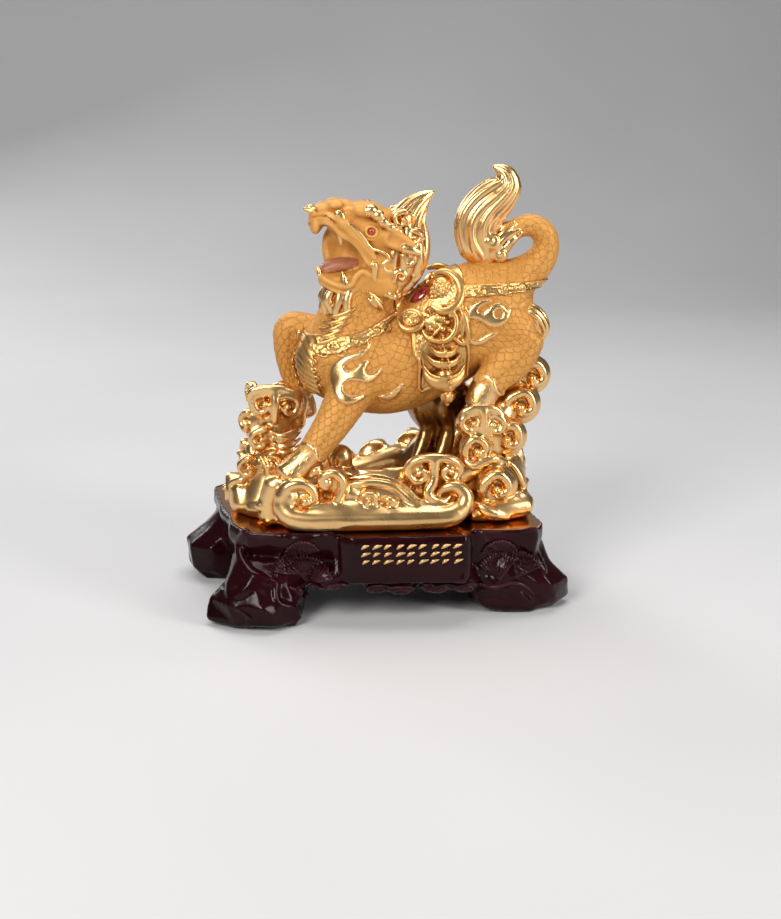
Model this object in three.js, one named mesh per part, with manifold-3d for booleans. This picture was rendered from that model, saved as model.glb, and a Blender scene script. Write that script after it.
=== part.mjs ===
// Gilt qilin figurine on a dark lacquered plinth, in millimetres with Z up.
// The origin is at the middle of the bounding box, on the ground.
// The animal looks towards -X, the lettered panel of the plinth looks towards -Y.
import * as THREE from 'three';
import { mergeVertices } from 'three/addons/utils/BufferGeometryUtils.js';
import Module from 'manifold-3d';

const wasm = await Module();
wasm.setup();

// Sizes of the plinth and its gilt plate.
const plinthWidth = 268;
const plinthDepth = 164;
const rimHeight = 63;
const rimWidth = 4;
const rimLip = 1;
const skirtHeight = 26;
const plateThickness = 1.2;
const clearance = 0.3;
const plateTop = rimHeight - rimLip;
const figureBase = plateTop + clearance;

// The figure is drawn at this height, and its pose and carving are shares of its real height.
const drawnHeight = 237.5;
const figureHeight = 237.5;
const figureShare = figureHeight / drawnHeight;

// Sizes of the carving.
const reliefDepth = 1.5;
const clothDepth = 2.6;
const strapDepth = 1.8;

// Sizes of the set stones.
const eyeRadius = 3.3;
const gemLength = 17.6;
const gemWidth = 11.6;
const gemThickness = 8;

// Facets finer than this are merged in the finished casting.
const finest = 0.4;

// Colours of the finishes.
const finishes = {
  mattGold: { color: 0xd9a050, roughness: 0.5, metalness: 0.6 },
  lacquer: { color: 0x2a0d10, roughness: 0.25, metalness: 0.0 },
  mirrorGold: { color: 0xc98a3c, roughness: 0.15, metalness: 1.0 },
  redStone: { color: 0x8c1016, roughness: 0.1, metalness: 0.0 },
};

// Turns a closed geometry into a solid that can be joined and cut.
function solidOf(geometry) {
  const bare = geometry.clone();
  bare.deleteAttribute('normal');
  bare.deleteAttribute('uv');
  const merged = mergeVertices(bare, 1e-4);
  const mesh = new wasm.Mesh({
    numProp: 3,
    vertProperties: new Float32Array(merged.attributes.position.array),
    triVerts: new Uint32Array(merged.index.array),
  });
  return new wasm.Manifold(mesh);
}

// Turns a solid back into a geometry.
function geometryOf(solid) {
  const mesh = solid.getMesh();
  const geometry = new THREE.BufferGeometry();
  geometry.setAttribute('position', new THREE.BufferAttribute(new Float32Array(mesh.vertProperties), 3));
  geometry.setIndex(new THREE.BufferAttribute(new Uint32Array(mesh.triVerts), 1));
  geometry.computeVertexNormals();
  return geometry;
}

// Signed volume of the tetrahedron from the origin to one triangle, times six.
function sixVolumes(positions, index, t) {
  const corner = (k) => new THREE.Vector3().fromArray(positions, 3 * index[3 * t + k]);
  return corner(0).dot(corner(1).cross(corner(2)));
}

// Drops the small voids that are closed in between joined masses: shells that face inwards.
function withoutVoids(solid) {
  const mesh = solid.getMesh();
  const index = mesh.triVerts;
  const owner = new Uint32Array(mesh.vertProperties.length / 3).map((_, i) => i);
  const find = (v) => {
    let root = v;
    while (owner[root] !== root) {
      root = owner[root];
    }
    owner[v] = root;
    return root;
  };
  for (let t = 0; t < index.length; t += 3) {
    owner[find(index[t])] = find(index[t + 1]);
    owner[find(index[t + 1])] = find(index[t + 2]);
  }
  const volumes = new Map();
  for (let t = 0; t < index.length / 3; t += 1) {
    const root = find(index[3 * t]);
    volumes.set(root, (volumes.get(root) ?? 0) + sixVolumes(mesh.vertProperties, index, t));
  }
  const kept = [];
  for (let t = 0; t < index.length; t += 3) {
    if (volumes.get(find(index[t])) > 0) {
      kept.push(index[t], index[t + 1], index[t + 2]);
    }
  }
  const geometry = new THREE.BufferGeometry();
  geometry.setAttribute('position', new THREE.Float32BufferAttribute(mesh.vertProperties, 3));
  geometry.setIndex(kept);
  return solidOf(geometry).simplify(finest);
}

// Joins a list of solids into one.
function join(solids) {
  let result = solids[0];
  for (const solid of solids.slice(1)) {
    result = result.add(solid);
  }
  return result;
}

// Closed body from rings of points, with a pole at each end.
function skin(rings, startPole, endPole) {
  const sides = rings[0].length;
  const positions = [];
  const index = [];
  for (const ring of rings) {
    for (const point of ring) {
      positions.push(point.x, point.y, point.z);
    }
  }
  const start = rings.length * sides;
  positions.push(startPole.x, startPole.y, startPole.z);
  positions.push(endPole.x, endPole.y, endPole.z);
  for (let j = 0; j < sides; j += 1) {
    const next = (j + 1) % sides;
    index.push(start, next, j);
    for (let i = 0; i + 1 < rings.length; i += 1) {
      const a = i * sides;
      const b = a + sides;
      index.push(a + j, a + next, b + j);
      index.push(a + next, b + next, b + j);
    }
    const top = (rings.length - 1) * sides;
    index.push(start + 1, top + j, top + next);
  }
  const geometry = new THREE.BufferGeometry();
  geometry.setAttribute('position', new THREE.Float32BufferAttribute(positions, 3));
  geometry.setIndex(index);
  return geometry;
}

// Rounded bar through stations [x, y, z, half width, half height].
// The half width lies along the across direction; grow thickens the whole bar.
function bar(stations, options = {}) {
  const across = new THREE.Vector3(...(options.across ?? [0, 1, 0]));
  const sides = options.sides ?? 12;
  const steps = options.steps ?? 1;
  const blunt = options.blunt ?? 0.7;
  const grow = options.grow ?? 0;
  const centres = stations.map(([x, y, z]) => new THREE.Vector3(x, y, z));
  const path = new THREE.CatmullRomCurve3(centres, false, 'centripetal');
  const last = stations.length - 1;
  const sections = [];
  for (let i = 0; i <= last * steps; i += 1) {
    const t = i / steps;
    const k = Math.min(Math.floor(t), last - 1);
    const wide = THREE.MathUtils.lerp(stations[k][3], stations[k + 1][3], t - k) + grow;
    const high = THREE.MathUtils.lerp(stations[k][4], stations[k + 1][4], t - k) + grow;
    const forward = path.getTangent(t / last);
    sections.push({ centre: path.getPoint(t / last), forward, wide, high });
  }
  const capped = [];
  const first = sections[0];
  const final = sections[sections.length - 1];
  const startCap = Math.min(first.wide, first.high) * blunt;
  const endCap = Math.min(final.wide, final.high) * blunt;
  capped.push(capRing(first, -startCap));
  capped.push(...sections);
  capped.push(capRing(final, endCap));
  const rings = capped.map((section) => ringOf(section, across, sides));
  const startPole = first.centre.clone().addScaledVector(first.forward, -startCap);
  const endPole = final.centre.clone().addScaledVector(final.forward, endCap);
  return solidOf(skin(rings, startPole, endPole));
}

// Smaller section that rounds the end of a bar.
function capRing(section, reach) {
  return {
    centre: section.centre.clone().addScaledVector(section.forward, reach * 0.64),
    forward: section.forward,
    wide: section.wide * 0.72,
    high: section.high * 0.72,
  };
}

// Points of one elliptical section.
function ringOf(section, across, sides) {
  const side = across.clone().addScaledVector(section.forward, -across.dot(section.forward)).normalize();
  const up = section.forward.clone().cross(side);
  const points = [];
  for (let j = 0; j < sides; j += 1) {
    const angle = (2 * Math.PI * j) / sides;
    const point = section.centre.clone();
    point.addScaledVector(side, section.wide * Math.cos(angle));
    point.addScaledVector(up, section.high * Math.sin(angle));
    points.push(point);
  }
  return points;
}

// Ellipsoid [x, y, z, radius x, radius y, radius z], tilted about Y and turned about Z in degrees.
function ball([x, y, z, rx, ry, rz], options = {}) {
  const geometry = new THREE.SphereGeometry(1, options.around ?? 8, options.rings ?? 4);
  const grow = options.grow ?? 0;
  geometry.scale(rx + grow, ry + grow, rz + grow);
  geometry.rotateY(THREE.MathUtils.degToRad(options.tilt ?? 0));
  geometry.rotateZ(THREE.MathUtils.degToRad(options.turn ?? 0));
  geometry.translate(x, y, z);
  return solidOf(geometry);
}

// Rolled cloud curl with its centre at [x, y, z], open towards -Y before it is turned.
// spin is the angle of the outer end in degrees, and hand is 1 or -1 for the way it winds.
function curl([x, y, z, radius], options = {}) {
  const spin = THREE.MathUtils.degToRad(options.spin ?? 90);
  const hand = options.hand ?? 1;
  const sectors = options.sectors ?? 7;
  const profile = [[0.8, 0.9], [1, 0.1], [0.8, -0.36], [0.5, -0.44], [0.24, -0.56]];
  const rings = profile.map(([reach, depth], level) => {
    const points = [];
    for (let j = 0; j < sectors; j += 1) {
      const angle = (2 * Math.PI * j) / sectors;
      const phase = 2 * Math.PI * reach * 1.25 - hand * (angle - spin);
      const wave = level > 1 ? 0.16 * Math.cos(phase) : 0;
      const across = radius * reach;
      const behind = radius * (depth + wave);
      points.push(new THREE.Vector3(across * Math.cos(angle), behind, across * Math.sin(angle)));
    }
    return points;
  });
  const startPole = new THREE.Vector3(0, radius * 0.95, 0);
  const endPole = new THREE.Vector3(0, -radius * 0.6, 0);
  return solidOf(skin(rings, startPole, endPole)).rotate([0, 0, options.turn ?? 0]).translate([x, y, z]);
}

// Flat outline in the XZ plane, pushed through from y0 to y1.
function slab(points, y0, y1) {
  const shape = new THREE.Shape(points.map(([x, z]) => new THREE.Vector2(x, z)));
  const geometry = new THREE.ExtrudeGeometry(shape, { depth: y1 - y0, bevelEnabled: false });
  geometry.rotateX(Math.PI / 2);
  geometry.translate(0, y1, 0);
  return solidOf(geometry);
}

// Smooth closed outline through a few points, as a flat shape pushed through in Y.
function flame(points, y0, y1, count = 26) {
  const curve = new THREE.CatmullRomCurve3(points.map(([x, z]) => new THREE.Vector3(x, z, 0)), true);
  const smooth = [];
  for (let i = 0; i < count; i += 1) {
    const point = curve.getPoint(i / count);
    smooth.push([point.x, point.y]);
  }
  return slab(smooth, y0, y1);
}

// Stations of the main masses: [x, y, z, half width, half height] above the cloud base.
const torso = [
  [-34, 0, 105, 18, 20],
  [-19, 0, 104, 25, 29],
  [8, 0, 101, 28, 33.5],
  [36, 0, 112.5, 27.5, 34.5],
  [64, 0, 133, 28, 36.5],
  [85, 0, 142, 26.5, 32],
  [96, 0, 144, 20, 23],
];
const neck = [
  [-18, 0, 108, 25, 30],
  [-14, 0, 128, 22, 26.5],
  [-9, -1, 147, 18, 23.5],
  [-2, -2, 163, 17, 22],
];
const shoulder = [
  [-4, -13, 112, 14, 20],
  [-10, -18, 101, 14, 18.5],
  [-18, -25, 88, 13, 15.5],
  [-32, -34, 67, 10.5, 12],
  [-46, -40, 50, 8.5, 9.5],
  [-52, -42, 43, 8, 8.5],
];
const raisedLeg = [
  [-18, 16, 112, 13, 18],
  [-30, 21, 115, 12.5, 16],
  [-46, 24, 121.5, 11, 13.5],
  [-55, 25, 123, 10, 12],
  [-57.5, 25, 111, 9, 9.8],
  [-57, 25, 98, 7.5, 7.8],
  [-54, 24, 86, 6.5, 6.6],
  [-49, 23, 75, 6.5, 6.6],
];
const nearThigh = [
  [80, -8, 142, 16, 27],
  [86, -14, 129, 15, 25],
  [100, -19, 123, 12, 16],
];
const nearShin = [
  [107, -20, 121, 9, 9.5],
  [97, -22, 110, 10, 13],
  [84, -24, 99.5, 10, 12.5],
  [75, -26, 91, 9, 10.5],
];
const farThigh = [
  [80, 8, 140, 16, 26],
  [82, 14, 122, 14, 22],
  [94, 18, 110, 10, 14],
];
const farShin = [
  [103, 20, 110, 7.5, 8],
  [93, 21, 96, 7.5, 9],
  [82, 22, 82, 7.5, 8.5],
];
const tail = [
  [92, 0, 158, 13, 15],
  [104, 1, 163, 12, 13],
  [115, 2, 171, 10.5, 11],
  [120, 2, 182, 9, 9],
  [118, 2, 191, 8.5, 8.3],
  [109, 2, 196.5, 8, 7.6],
  [98, 2, 194, 7.5, 6.8],
  [86, 2, 185, 7, 7],
];
const tuft = [
  [77, 1, 172, 7, 9],
  [75.5, 1, 180, 8.5, 13.5],
  [71.5, 1, 190, 9.5, 13.5],
  [72, 1, 200, 9.5, 14],
  [78, 1, 209.5, 9, 13.5],
  [87, 1, 218, 8, 12],
  [92, 1, 226, 6.5, 8.8],
  [88.5, 1, 233, 4.5, 5.2],
  [82.5, 1, 236.4, 1.6, 1.3],
];

// Places of the carved flames on the near side, as outlines in X and Z.
const shoulderFlame = [
  [-31, 99], [-29, 108], [-22, 116], [-13, 119.5], [-4, 126], [-3, 120], [-12, 114], [-20, 110],
  [-22, 105.5], [-14, 105.5], [-7, 111.5], [-2, 112.5], [-7, 107], [-6, 102.5], [0, 103], [4, 109],
  [4, 101], [-3, 97], [-16, 100], [-25, 97], [-26, 91], [-19, 88.5], [-11, 91], [-5, 91.5],
  [-10, 87], [-20, 84], [-28, 88],
];
const hipFlame = [
  [61, 138], [64, 145], [70, 150.5], [78, 150.8], [72, 148], [68, 144], [70, 141.5], [75, 144.5],
  [81, 146], [85, 143], [79, 142.5], [77, 138], [82, 136.5], [87, 140], [91, 146], [91, 139],
  [85, 132.5], [77, 132], [70, 136.5], [64, 137],
];

// Outline of the saddle cloth with its hanging flap.
const saddleCloth = [
  [15, 141], [16, 132], [22.5, 128], [22.5, 112], [26, 108], [26, 91], [30, 87.5], [41, 90],
  [48, 80], [55, 88], [64, 94], [65, 121], [63, 139], [58, 151], [58, 172], [36, 172], [15, 150],
];

// Main masses of the body, grown by the given thickness.
function bodyMasses(grow) {
  const chest = ball([-27, -1, 106, 23.5, 21, 27], { around: 10, rings: 7, grow });
  return [
    bar(torso, { sides: 12, grow }),
    chest,
    bar(neck, { sides: 12, grow }),
    bar(shoulder, { sides: 10, grow }),
    bar(nearThigh, { sides: 12, grow }),
  ];
}

// Head with the mouth open, brow, ears, horn and mane.
function headSolids() {
  const upperJaw = [
    [4, -2, 193, 17, 18],
    [-9, -4, 199, 16, 15],
    [-21, -5, 203, 13.5, 11.5],
    [-32, -6, 206, 11, 7.5],
    [-38, -6.5, 204.5, 8.5, 7],
  ];
  const lowerJaw = [
    [8, -2, 160, 16, 12],
    [-5, -4, 161.5, 16, 11],
    [-17, -5, 160.5, 14, 9.3],
    [-28, -6, 162, 11.5, 7.5],
    [-33, -6.5, 164, 9, 6],
  ];
  const solids = [
    ball([4, -1, 181, 17, 17, 22], { around: 10, rings: 6 }),
    bar(upperJaw, { sides: 10 }),
    ball([-39, -7, 199.5, 4.2, 9.5, 7], { around: 8, rings: 6 }),
    bar(lowerJaw, { sides: 10 }),
    bar([[-5, 4, 181, 10, 17], [-22, 4.5, 183, 9, 15], [-30, 4.5, 183, 7, 13]], { sides: 8 }),
    ball([3, -12, 172, 15, 8, 14]),
  ];
  const mouth = ball([-25, -17, 182, 19, 15, 11.5], { around: 9, rings: 6, tilt: 14 });
  const front = ball([-38, -9, 181, 8, 9, 9], { around: 8, rings: 4 });
  const hollow = join(solids).subtract(mouth).subtract(front);
  const tongue = [[-14, -7, 171, 7, 5], [-24, -7, 172, 7.5, 5], [-33, -7.5, 169.5, 6.5, 4.5]];
  return [hollow, bar(tongue, { sides: 6 }), ...headDetails()];
}

// Brows, ears, horn, mane, beard and the small fangs.
function headDetails() {
  const solids = [];
  const mane = [
    [9, -2, 149, 8, 5],
    [14, -2, 157, 12, 9],
    [19, -2, 168, 15, 13],
    [21.5, -2, 180, 16, 15],
    [22.5, -2, 192, 14, 14],
    [24.5, -2, 202, 10, 11],
    [30.5, -2, 212, 6.5, 7.5],
    [37.5, -2, 218, 3.2, 3.4],
    [41.5, -2, 220.3, 1, 1],
  ];
  solids.push(bar(mane, { sides: 9, blunt: 0.5 }));
  solids.push(curl([14, -15, 199, 7.5], { spin: 210, hand: -1, sectors: 8 }));
  for (const side of [-1, 1]) {
    const y = -2 + side * 14;
    solids.push(bar([
      [-11, y + side, 207, 2.2, 1.6],
      [0, y + side * 1.6, 207, 2.8, 3.2],
      [10, y + side * 1.6, 202, 2.8, 3.2],
      [18, y + side, 195, 2.4, 2.4],
    ], { sides: 5 }));
    solids.push(bar([
      [7, y, 190, 4, 6],
      [17, y + side * 4, 187.5, 3.4, 5],
      [25, y + side * 6, 184.5, 2.4, 3.6],
      [31, y + side * 7, 181.5, 0.8, 1],
    ], { sides: 6 }));
    solids.push(bar([
      [-2, y * 0.9, 154, 2.2, 2.6],
      [4, y, 148.5, 2, 2.4],
      [10, y, 142.5, 0.8, 0.8],
    ], { sides: 5 }));
    solids.push(ball([-17, -5 + side * 9.5, 207, 6, 4, 4.2], { around: 7, rings: 4, tilt: -20 }));
  }
  const noseHorn = [[-36, -7, 208, 5, 3], [-41, -7, 209.3, 2.6, 1.9], [-44, -7, 210.5, 0.7, 0.7]];
  solids.push(bar(noseHorn, { sides: 5 }));
  for (const [x, y, z, tilt] of [[-31, -8, 150, 0], [-25, -13, 149, 10], [-17, -16, 150, 20]]) {
    solids.push(ball([x, y, z, 4.2, 4.6, 9.5], { around: 6, rings: 4, tilt }));
  }
  solids.push(ball([-22, -4, 146, 12, 12, 9], { around: 8, rings: 4 }));
  return solids;
}

// Curved belly plates down the front of the neck and chest.
function chestPlates() {
  const plates = [];
  const front = [
    [-31, 141, 9], [-36.5, 132, 11], [-43, 121.5, 12.5],
    [-47.5, 111, 13.5], [-49.5, 101, 13], [-46, 90, 12],
  ];
  for (const [x, z, half] of front) {
    plates.push(ball([x + 3, -2, z, 6.5, half, 6], { around: 8, rings: 4 }));
  }
  return plates;
}

// Necklace and crupper strap: bands that follow the body.
function straps() {
  const neckBand = [
    [-56, 124.5], [-31, 125.5], [-17, 127.5], [-4, 132.5], [14, 141],
    [16, 133], [2, 127.5], [-7, 122], [-17, 120], [-31, 117], [-56, 115],
  ];
  const rumpBand = [[54, 157], [70, 158], [124, 159.5], [124, 151.5], [70, 150], [54, 149.5]];
  const shell = join([
    bar(torso, { sides: 12, grow: strapDepth }),
    bar(neck, { sides: 12, grow: strapDepth }),
    ball([-27, -1, 106, 23.5, 21, 27], { around: 10, rings: 7, grow: strapDepth }),
  ]);
  const solids = [
    shell.intersect(slab(neckBand, -60, 60)),
    bar(torso, { sides: 12, grow: strapDepth }).intersect(slab(rumpBand, -60, 60)),
  ];
  return solids;
}

// Shallow flames carved on the near shoulder and hip.
function bodyFlames() {
  const outlines = flame(shoulderFlame, -60, 0, 30);
  const hip = flame(hipFlame, -60, 0, 22);
  const shell = join(bodyMasses(reliefDepth));
  return [shell.intersect(outlines), shell.intersect(hip)];
}

// Saddle: cloth, coin, cantle ring, scrolls and the hanging stack of ingots, plainer on the far side.
function saddle() {
  const shell = bar(torso, { sides: 12, grow: clothDepth });
  const solids = [shell.intersect(slab(saddleCloth, -60, 60))];
  for (const side of [-1, 1]) {
    const ring = [];
    for (let i = 0; i <= 6; i += 1) {
      const angle = THREE.MathUtils.degToRad(115 - i * 36);
      const x = 46 + 13 * Math.cos(angle);
      const z = 155.5 + 12.5 * Math.sin(angle);
      const drop = 0.62 * (167 - z);
      ring.push([x, side * (14 + drop), z, 3, 2.6]);
    }
    solids.push(bar(ring, { sides: 6 }));
    solids.push(ball([37, side * 24, 137, 14, 8, 13]));
  }
  solids.push(ball([47, 28, 101, 13, 6, 15]));
  solids.push(ball([25, -23, 137, 8, 5, 8]));
  const ruffle = [
    [54, -25, 146, 2.5, 3], [59, -28.5, 137, 2.5, 3.5],
    [60, -30, 127, 2.5, 4], [55, -30.5, 122, 2.5, 3],
  ];
  solids.push(bar(ruffle, { sides: 6 }));
  for (const [z, half] of [[113, 10.5], [104.5, 13], [95, 13.5]]) {
    solids.push(bar([
      [47 - half, -29, z + 3.5, 1.5, 2],
      [47 - half * 0.45, -29.5, z - 1, 5, 4.4],
      [47 + half * 0.45, -29.5, z - 1, 5, 4.4],
      [47 + half, -29, z + 3.5, 1.5, 2],
    ], { sides: 6 }));
  }
  solids.push(ball([47, -26, 85.5, 5, 5.5, 5.5], { around: 7, rings: 5 }));
  return solids;
}

// Hooves, hock tuft and the rest of the legs.
function legs() {
  const hockTuft = [
    [107, -12, 141, 7, 5], [113, -13, 134, 6.5, 4.5], [118.5, -13, 126.5, 4, 3], [119, -13, 121, 1.5, 1.5],
  ];
  return [
    bar(raisedLeg, { sides: 9 }),
    bar(farThigh, { sides: 9 }),
    bar(farShin, { sides: 8 }),
    bar(nearShin, { sides: 9 }),
    bar([[-44, -40, 52, 10.5, 11.5], [-53, -42, 44, 11, 12], [-60, -43, 37, 11, 10]], { sides: 8 }),
    bar([[79, -26, 91, 9, 9.5], [73, -26, 84, 9.5, 10.5], [70, -26, 78, 9.5, 9]], { sides: 8 }),
    bar([[-49, 23, 78, 7.5, 7.5], [-47, 23, 70, 8.5, 8.5], [-46, 23, 64, 8, 8]], { sides: 7 }),
    bar([[83, 22, 84, 8.5, 9], [78, 23, 76, 9, 10], [77, 23, 68, 9, 9]], { sides: 7 }),
    bar(hockTuft, { sides: 6 }),
  ];
}

// Cloud masses that everything stands on.
function cloudMasses() {
  const base = [
    [-86, 0, 8, 26, 10], [-60, -4, 10, 40, 12], [-25, -6, 9, 48, 11],
    [20, -7, 9, 51, 11], [60, -5, 10, 51, 12], [88, 0, 10, 44, 12], [97, 2, 9, 34, 10],
  ];
  const left = [
    [-76, 0, 6, 32, 24], [-72, 3, 28, 25, 17], [-68, 7, 48, 19, 14],
    [-67, 9, 66, 17, 16], [-66, 10, 74, 13, 13],
  ];
  const right = [
    [80, 2, 8, 42, 27], [80, 0, 26, 40, 22], [77, -2, 42, 36, 16], [80, -4, 56, 34, 19],
    [90, 0, 74, 30, 19], [101, -1, 92, 20, 15],
  ];
  const pillar = [
    [46, 24, 12, 20, 34], [44, 24, 30, 17, 22], [49, 22, 46, 14, 13],
    [48, 20, 62, 16, 22], [46, 16, 78, 16, 26],
  ];
  const middle = [[-44, -38, 18, 12, 9], [-30, -38, 24, 12, 10], [-12, -36, 16, 12, 9]];
  const shelf = [[10, -31, 18, 13, 9], [30, -33, 28, 12, 10], [52, -32, 30, 13, 11], [70, -30, 40, 12, 12]];
  return [
    bar(base, { sides: 10, blunt: 0.5 }),
    bar(left, { sides: 7 }),
    bar(right, { sides: 8 }),
    bar(pillar, { sides: 7 }),
    bar(middle, { sides: 6 }),
    bar(shelf, { sides: 6 }),
    bar([[-64, -36, 4, 14, 14], [-65, -38, 20, 13, 12], [-59, -42, 34, 12, 12]], { sides: 7 }),
    bar([[-90, -2, 3, 16, 12], [-92, 0, 16, 13, 9]], { sides: 6 }),
    ball([-24, -15, 40, 10, 9, 10.5], { around: 9, rings: 6 }),
    ball([-66, 5, 74, 19, 14, 12], { around: 9, rings: 5 }),
    ball([76, -20, 60, 18, 16, 16], { around: 9, rings: 5 }),
    ball([97, -6, 82, 17, 18, 16], { around: 9, rings: 5 }),
    bar([[-22, -16, 12, 14, 16], [-23, -16, 30, 11, 12]], { sides: 6 }),
    bar([[-24, 36, 14, 10, 8], [0, 38, 18, 12, 9], [24, 36, 24, 14, 12]], { sides: 6 }),
  ];
}

// Long scroll along the foot of the clouds, in front.
function frontScroll() {
  const roll = [
    [-61, -46, 14, 8, 11], [-50, -50, 8, 8, 8], [-25, -54, 7.5, 8, 8],
    [5, -56, 8.5, 8, 9.5], [30, -56, 7.5, 8, 8], [48, -55, 8.5, 8, 8],
    [57, -52, 16, 7, 6.5], [52, -50, 23, 6, 5], [40, -50, 22, 6, 4.5],
  ];
  const ridge = [[-24, -47, 15, 9, 6], [-4, -46, 20, 9, 6], [16, -44, 22, 9, 6], [34, -42, 17, 9, 6]];
  return [bar(roll, { sides: 8 }), bar(ridge, { sides: 7 })];
}

// Cloud curls, as [x, y, z, radius, spin, hand, turn].
function cloudCurls() {
  const curls = [
    [109, -15, 96, 13, 150, -1, 0], [101, -20, 76, 13.5, 140, -1, 0], [64, -31, 65.5, 11.5, 60, 1, 0],
    [82, -31, 62.5, 11, 120, -1, 0], [92, -26, 54, 13.5, 100, -1, 0], [68, -35, 50, 12, 200, -1, 0],
    [28, -43, 36, 11, 70, 1, 0], [47, -43, 35.5, 11, 110, -1, 0], [83, -41, 25, 13.5, 160, -1, 0],
    [98, -34, 12, 11, 90, -1, 15], [-75, -5, 76, 12.5, 60, 1, 0], [-58, -6, 72, 12, 120, -1, 0],
    [-76, -8, 49, 11, 60, 1, 0], [-60, -12, 46, 12, 120, -1, 0], [-83, -10, 33, 11, 80, 1, 0],
    [-68, -16, 30, 12, 100, -1, 0], [-51, -50, 21, 15, 200, 1, 0], [-33, -47, 33, 11.5, 90, -1, 0],
    [-6, -51, 17, 8, 160, -1, 0],
  ];
  const rear = [
    [104, 16, 86, 13], [94, 24, 56, 14], [74, 36, 34, 14],
    [96, 30, 16, 13], [-72, 24, 66, 12], [-76, 24, 30, 13],
  ];
  const solids = curls.map(([x, y, z, r, spin, hand, turn]) => curl([x, y, z, r], { spin, hand, turn }));
  for (const [x, y, z, r] of rear) {
    solids.push(ball([x, y, z, r, r * 0.7, r], { around: 7, rings: 4 }));
  }
  return solids;
}

// The animal and its clouds, cast as one piece.
function figure() {
  const solids = [
    ...bodyMasses(0),
    ...legs(),
    bar(tail, { sides: 10 }),
    bar(tuft, { sides: 10 }),
    ...headSolids(),
    ...chestPlates(),
    ...straps(),
    ...bodyFlames(),
    ...saddle(),
    ...cloudMasses(),
    ...frontScroll(),
    ...cloudCurls(),
  ];
  const ground = slab([[-140, -40], [140, -40], [140, 0], [-140, 0]], -120, 120);
  return withoutVoids(join(solids).subtract(ground)).scale(figureShare);
}

// Red stone on the spine and the two eyes, each in its own pocket, placed as shares of the drawn figure.
const gemPlace = { at: [32.5, -9.5, 151], tilt: -40, roll: 28 };
const eyePlaces = { near: [-2.5, -18, 196], far: [-2.5, 12.5, 196] };

function gem(grow) {
  const geometry = new THREE.SphereGeometry(1, 12, 7);
  geometry.scale(gemLength / 2 + grow, gemWidth / 2 + grow, gemThickness / 2 + grow);
  geometry.rotateX(THREE.MathUtils.degToRad(gemPlace.roll));
  geometry.rotateY(THREE.MathUtils.degToRad(gemPlace.tilt));
  geometry.translate(...gemPlace.at.map((value) => value * figureShare));
  return solidOf(geometry);
}

function eye(place, grow) {
  const at = place.map((value) => value * figureShare);
  return ball([...at, eyeRadius, eyeRadius, eyeRadius], { around: 8, rings: 6, grow });
}

// The lettered panel stands proud of the body from here.
const panelBack = -63;

// Outline of the plinth seen from above, running anticlockwise from the front left corner.
const plinthOutline = [
  [-91, -54], [-75, -58], [-56, -61], [-32, -63], [-27, -70], [-20, -74], [55, -78], [60, -74], [64, -64],
  [90, -65], [109, -62],
  [115, -50], [111, -22], [115, 6], [110, 34], [117, 58], [101, 75], [62, 79], [20, 75], [-20, 78],
  [-60, 75], [-98, 80], [-115, 61], [-110, 16], [-104, -12], [-103, -30],
];

// Outline moved inwards by the given distance.
function inset(points, distance) {
  const result = [];
  const count = points.length;
  for (let i = 0; i < count; i += 1) {
    const before = new THREE.Vector2(...points[(i + count - 1) % count]);
    const here = new THREE.Vector2(...points[i]);
    const after = new THREE.Vector2(...points[(i + 1) % count]);
    const along = after.sub(before).normalize();
    result.push([here.x - along.y * distance, here.y + along.x * distance]);
  }
  return result;
}

// Closed body through flat outlines [height, points], each with the same number of points.
function stack(levels) {
  const rings = levels.map(([z, points]) => points.map(([x, y]) => new THREE.Vector3(x, y, z)));
  const middle = (ring) => {
    const centre = new THREE.Vector3();
    ring.forEach((point) => centre.add(point));
    return centre.divideScalar(ring.length);
  };
  return solidOf(skin(rings, middle(rings[0]), middle(rings[rings.length - 1])));
}

// Rock-like foot: levels of [height, centre x, centre y, half x, half y], with uneven corners.
function foot(levels, seed) {
  const corners = 8;
  const outline = ([z, cx, cy, hx, hy], level) => {
    const points = [];
    for (let j = 0; j < corners; j += 1) {
      const angle = (2 * Math.PI * (j + 0.3 * Math.sin(seed + level))) / corners;
      const uneven = 1 + 0.06 * Math.sin(seed * 3 + j * 2.4 + level * 1.7);
      points.push([cx + hx * uneven * Math.cos(angle), cy + hy * uneven * Math.sin(angle)]);
    }
    return [z, points];
  };
  return stack(levels.map(outline));
}

// Levels of the four feet: front left, front right, back left, back right.
// Heights are given above the ground for a skirt that hangs down to 26.
const footLevels = [
  [
    [0, -84, -53, 29, 21], [5, -84, -54, 35, 27], [18, -85, -54, 35, 28],
    [30, -82, -50, 29, 25], [44, -80, -44, 21, 17],
  ],
  [
    [0, 101, -39, 29, 20], [5, 98, -39, 37, 24], [19, 95, -40, 40, 25],
    [33, 93, -39, 33, 24], [50, 92, -38, 22, 18],
  ],
  [
    [0, -107, 50, 20, 21], [8, -112, 50, 24, 25], [25, -112, 50, 25, 25],
    [37, -106, 50, 18, 20], [50, -98, 50, 12, 14],
  ],
  [
    [0, 104, 50, 22, 21], [6, 105, 50, 28, 25], [24, 104, 50, 28, 25],
    [38, 98, 50, 21, 20], [50, 95, 50, 14, 14],
  ],
];

// Height at a share of the way up from the skirt's edge to the rim.
function upSkirt(share) {
  return skirtHeight + share * (rimHeight - skirtHeight);
}

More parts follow.
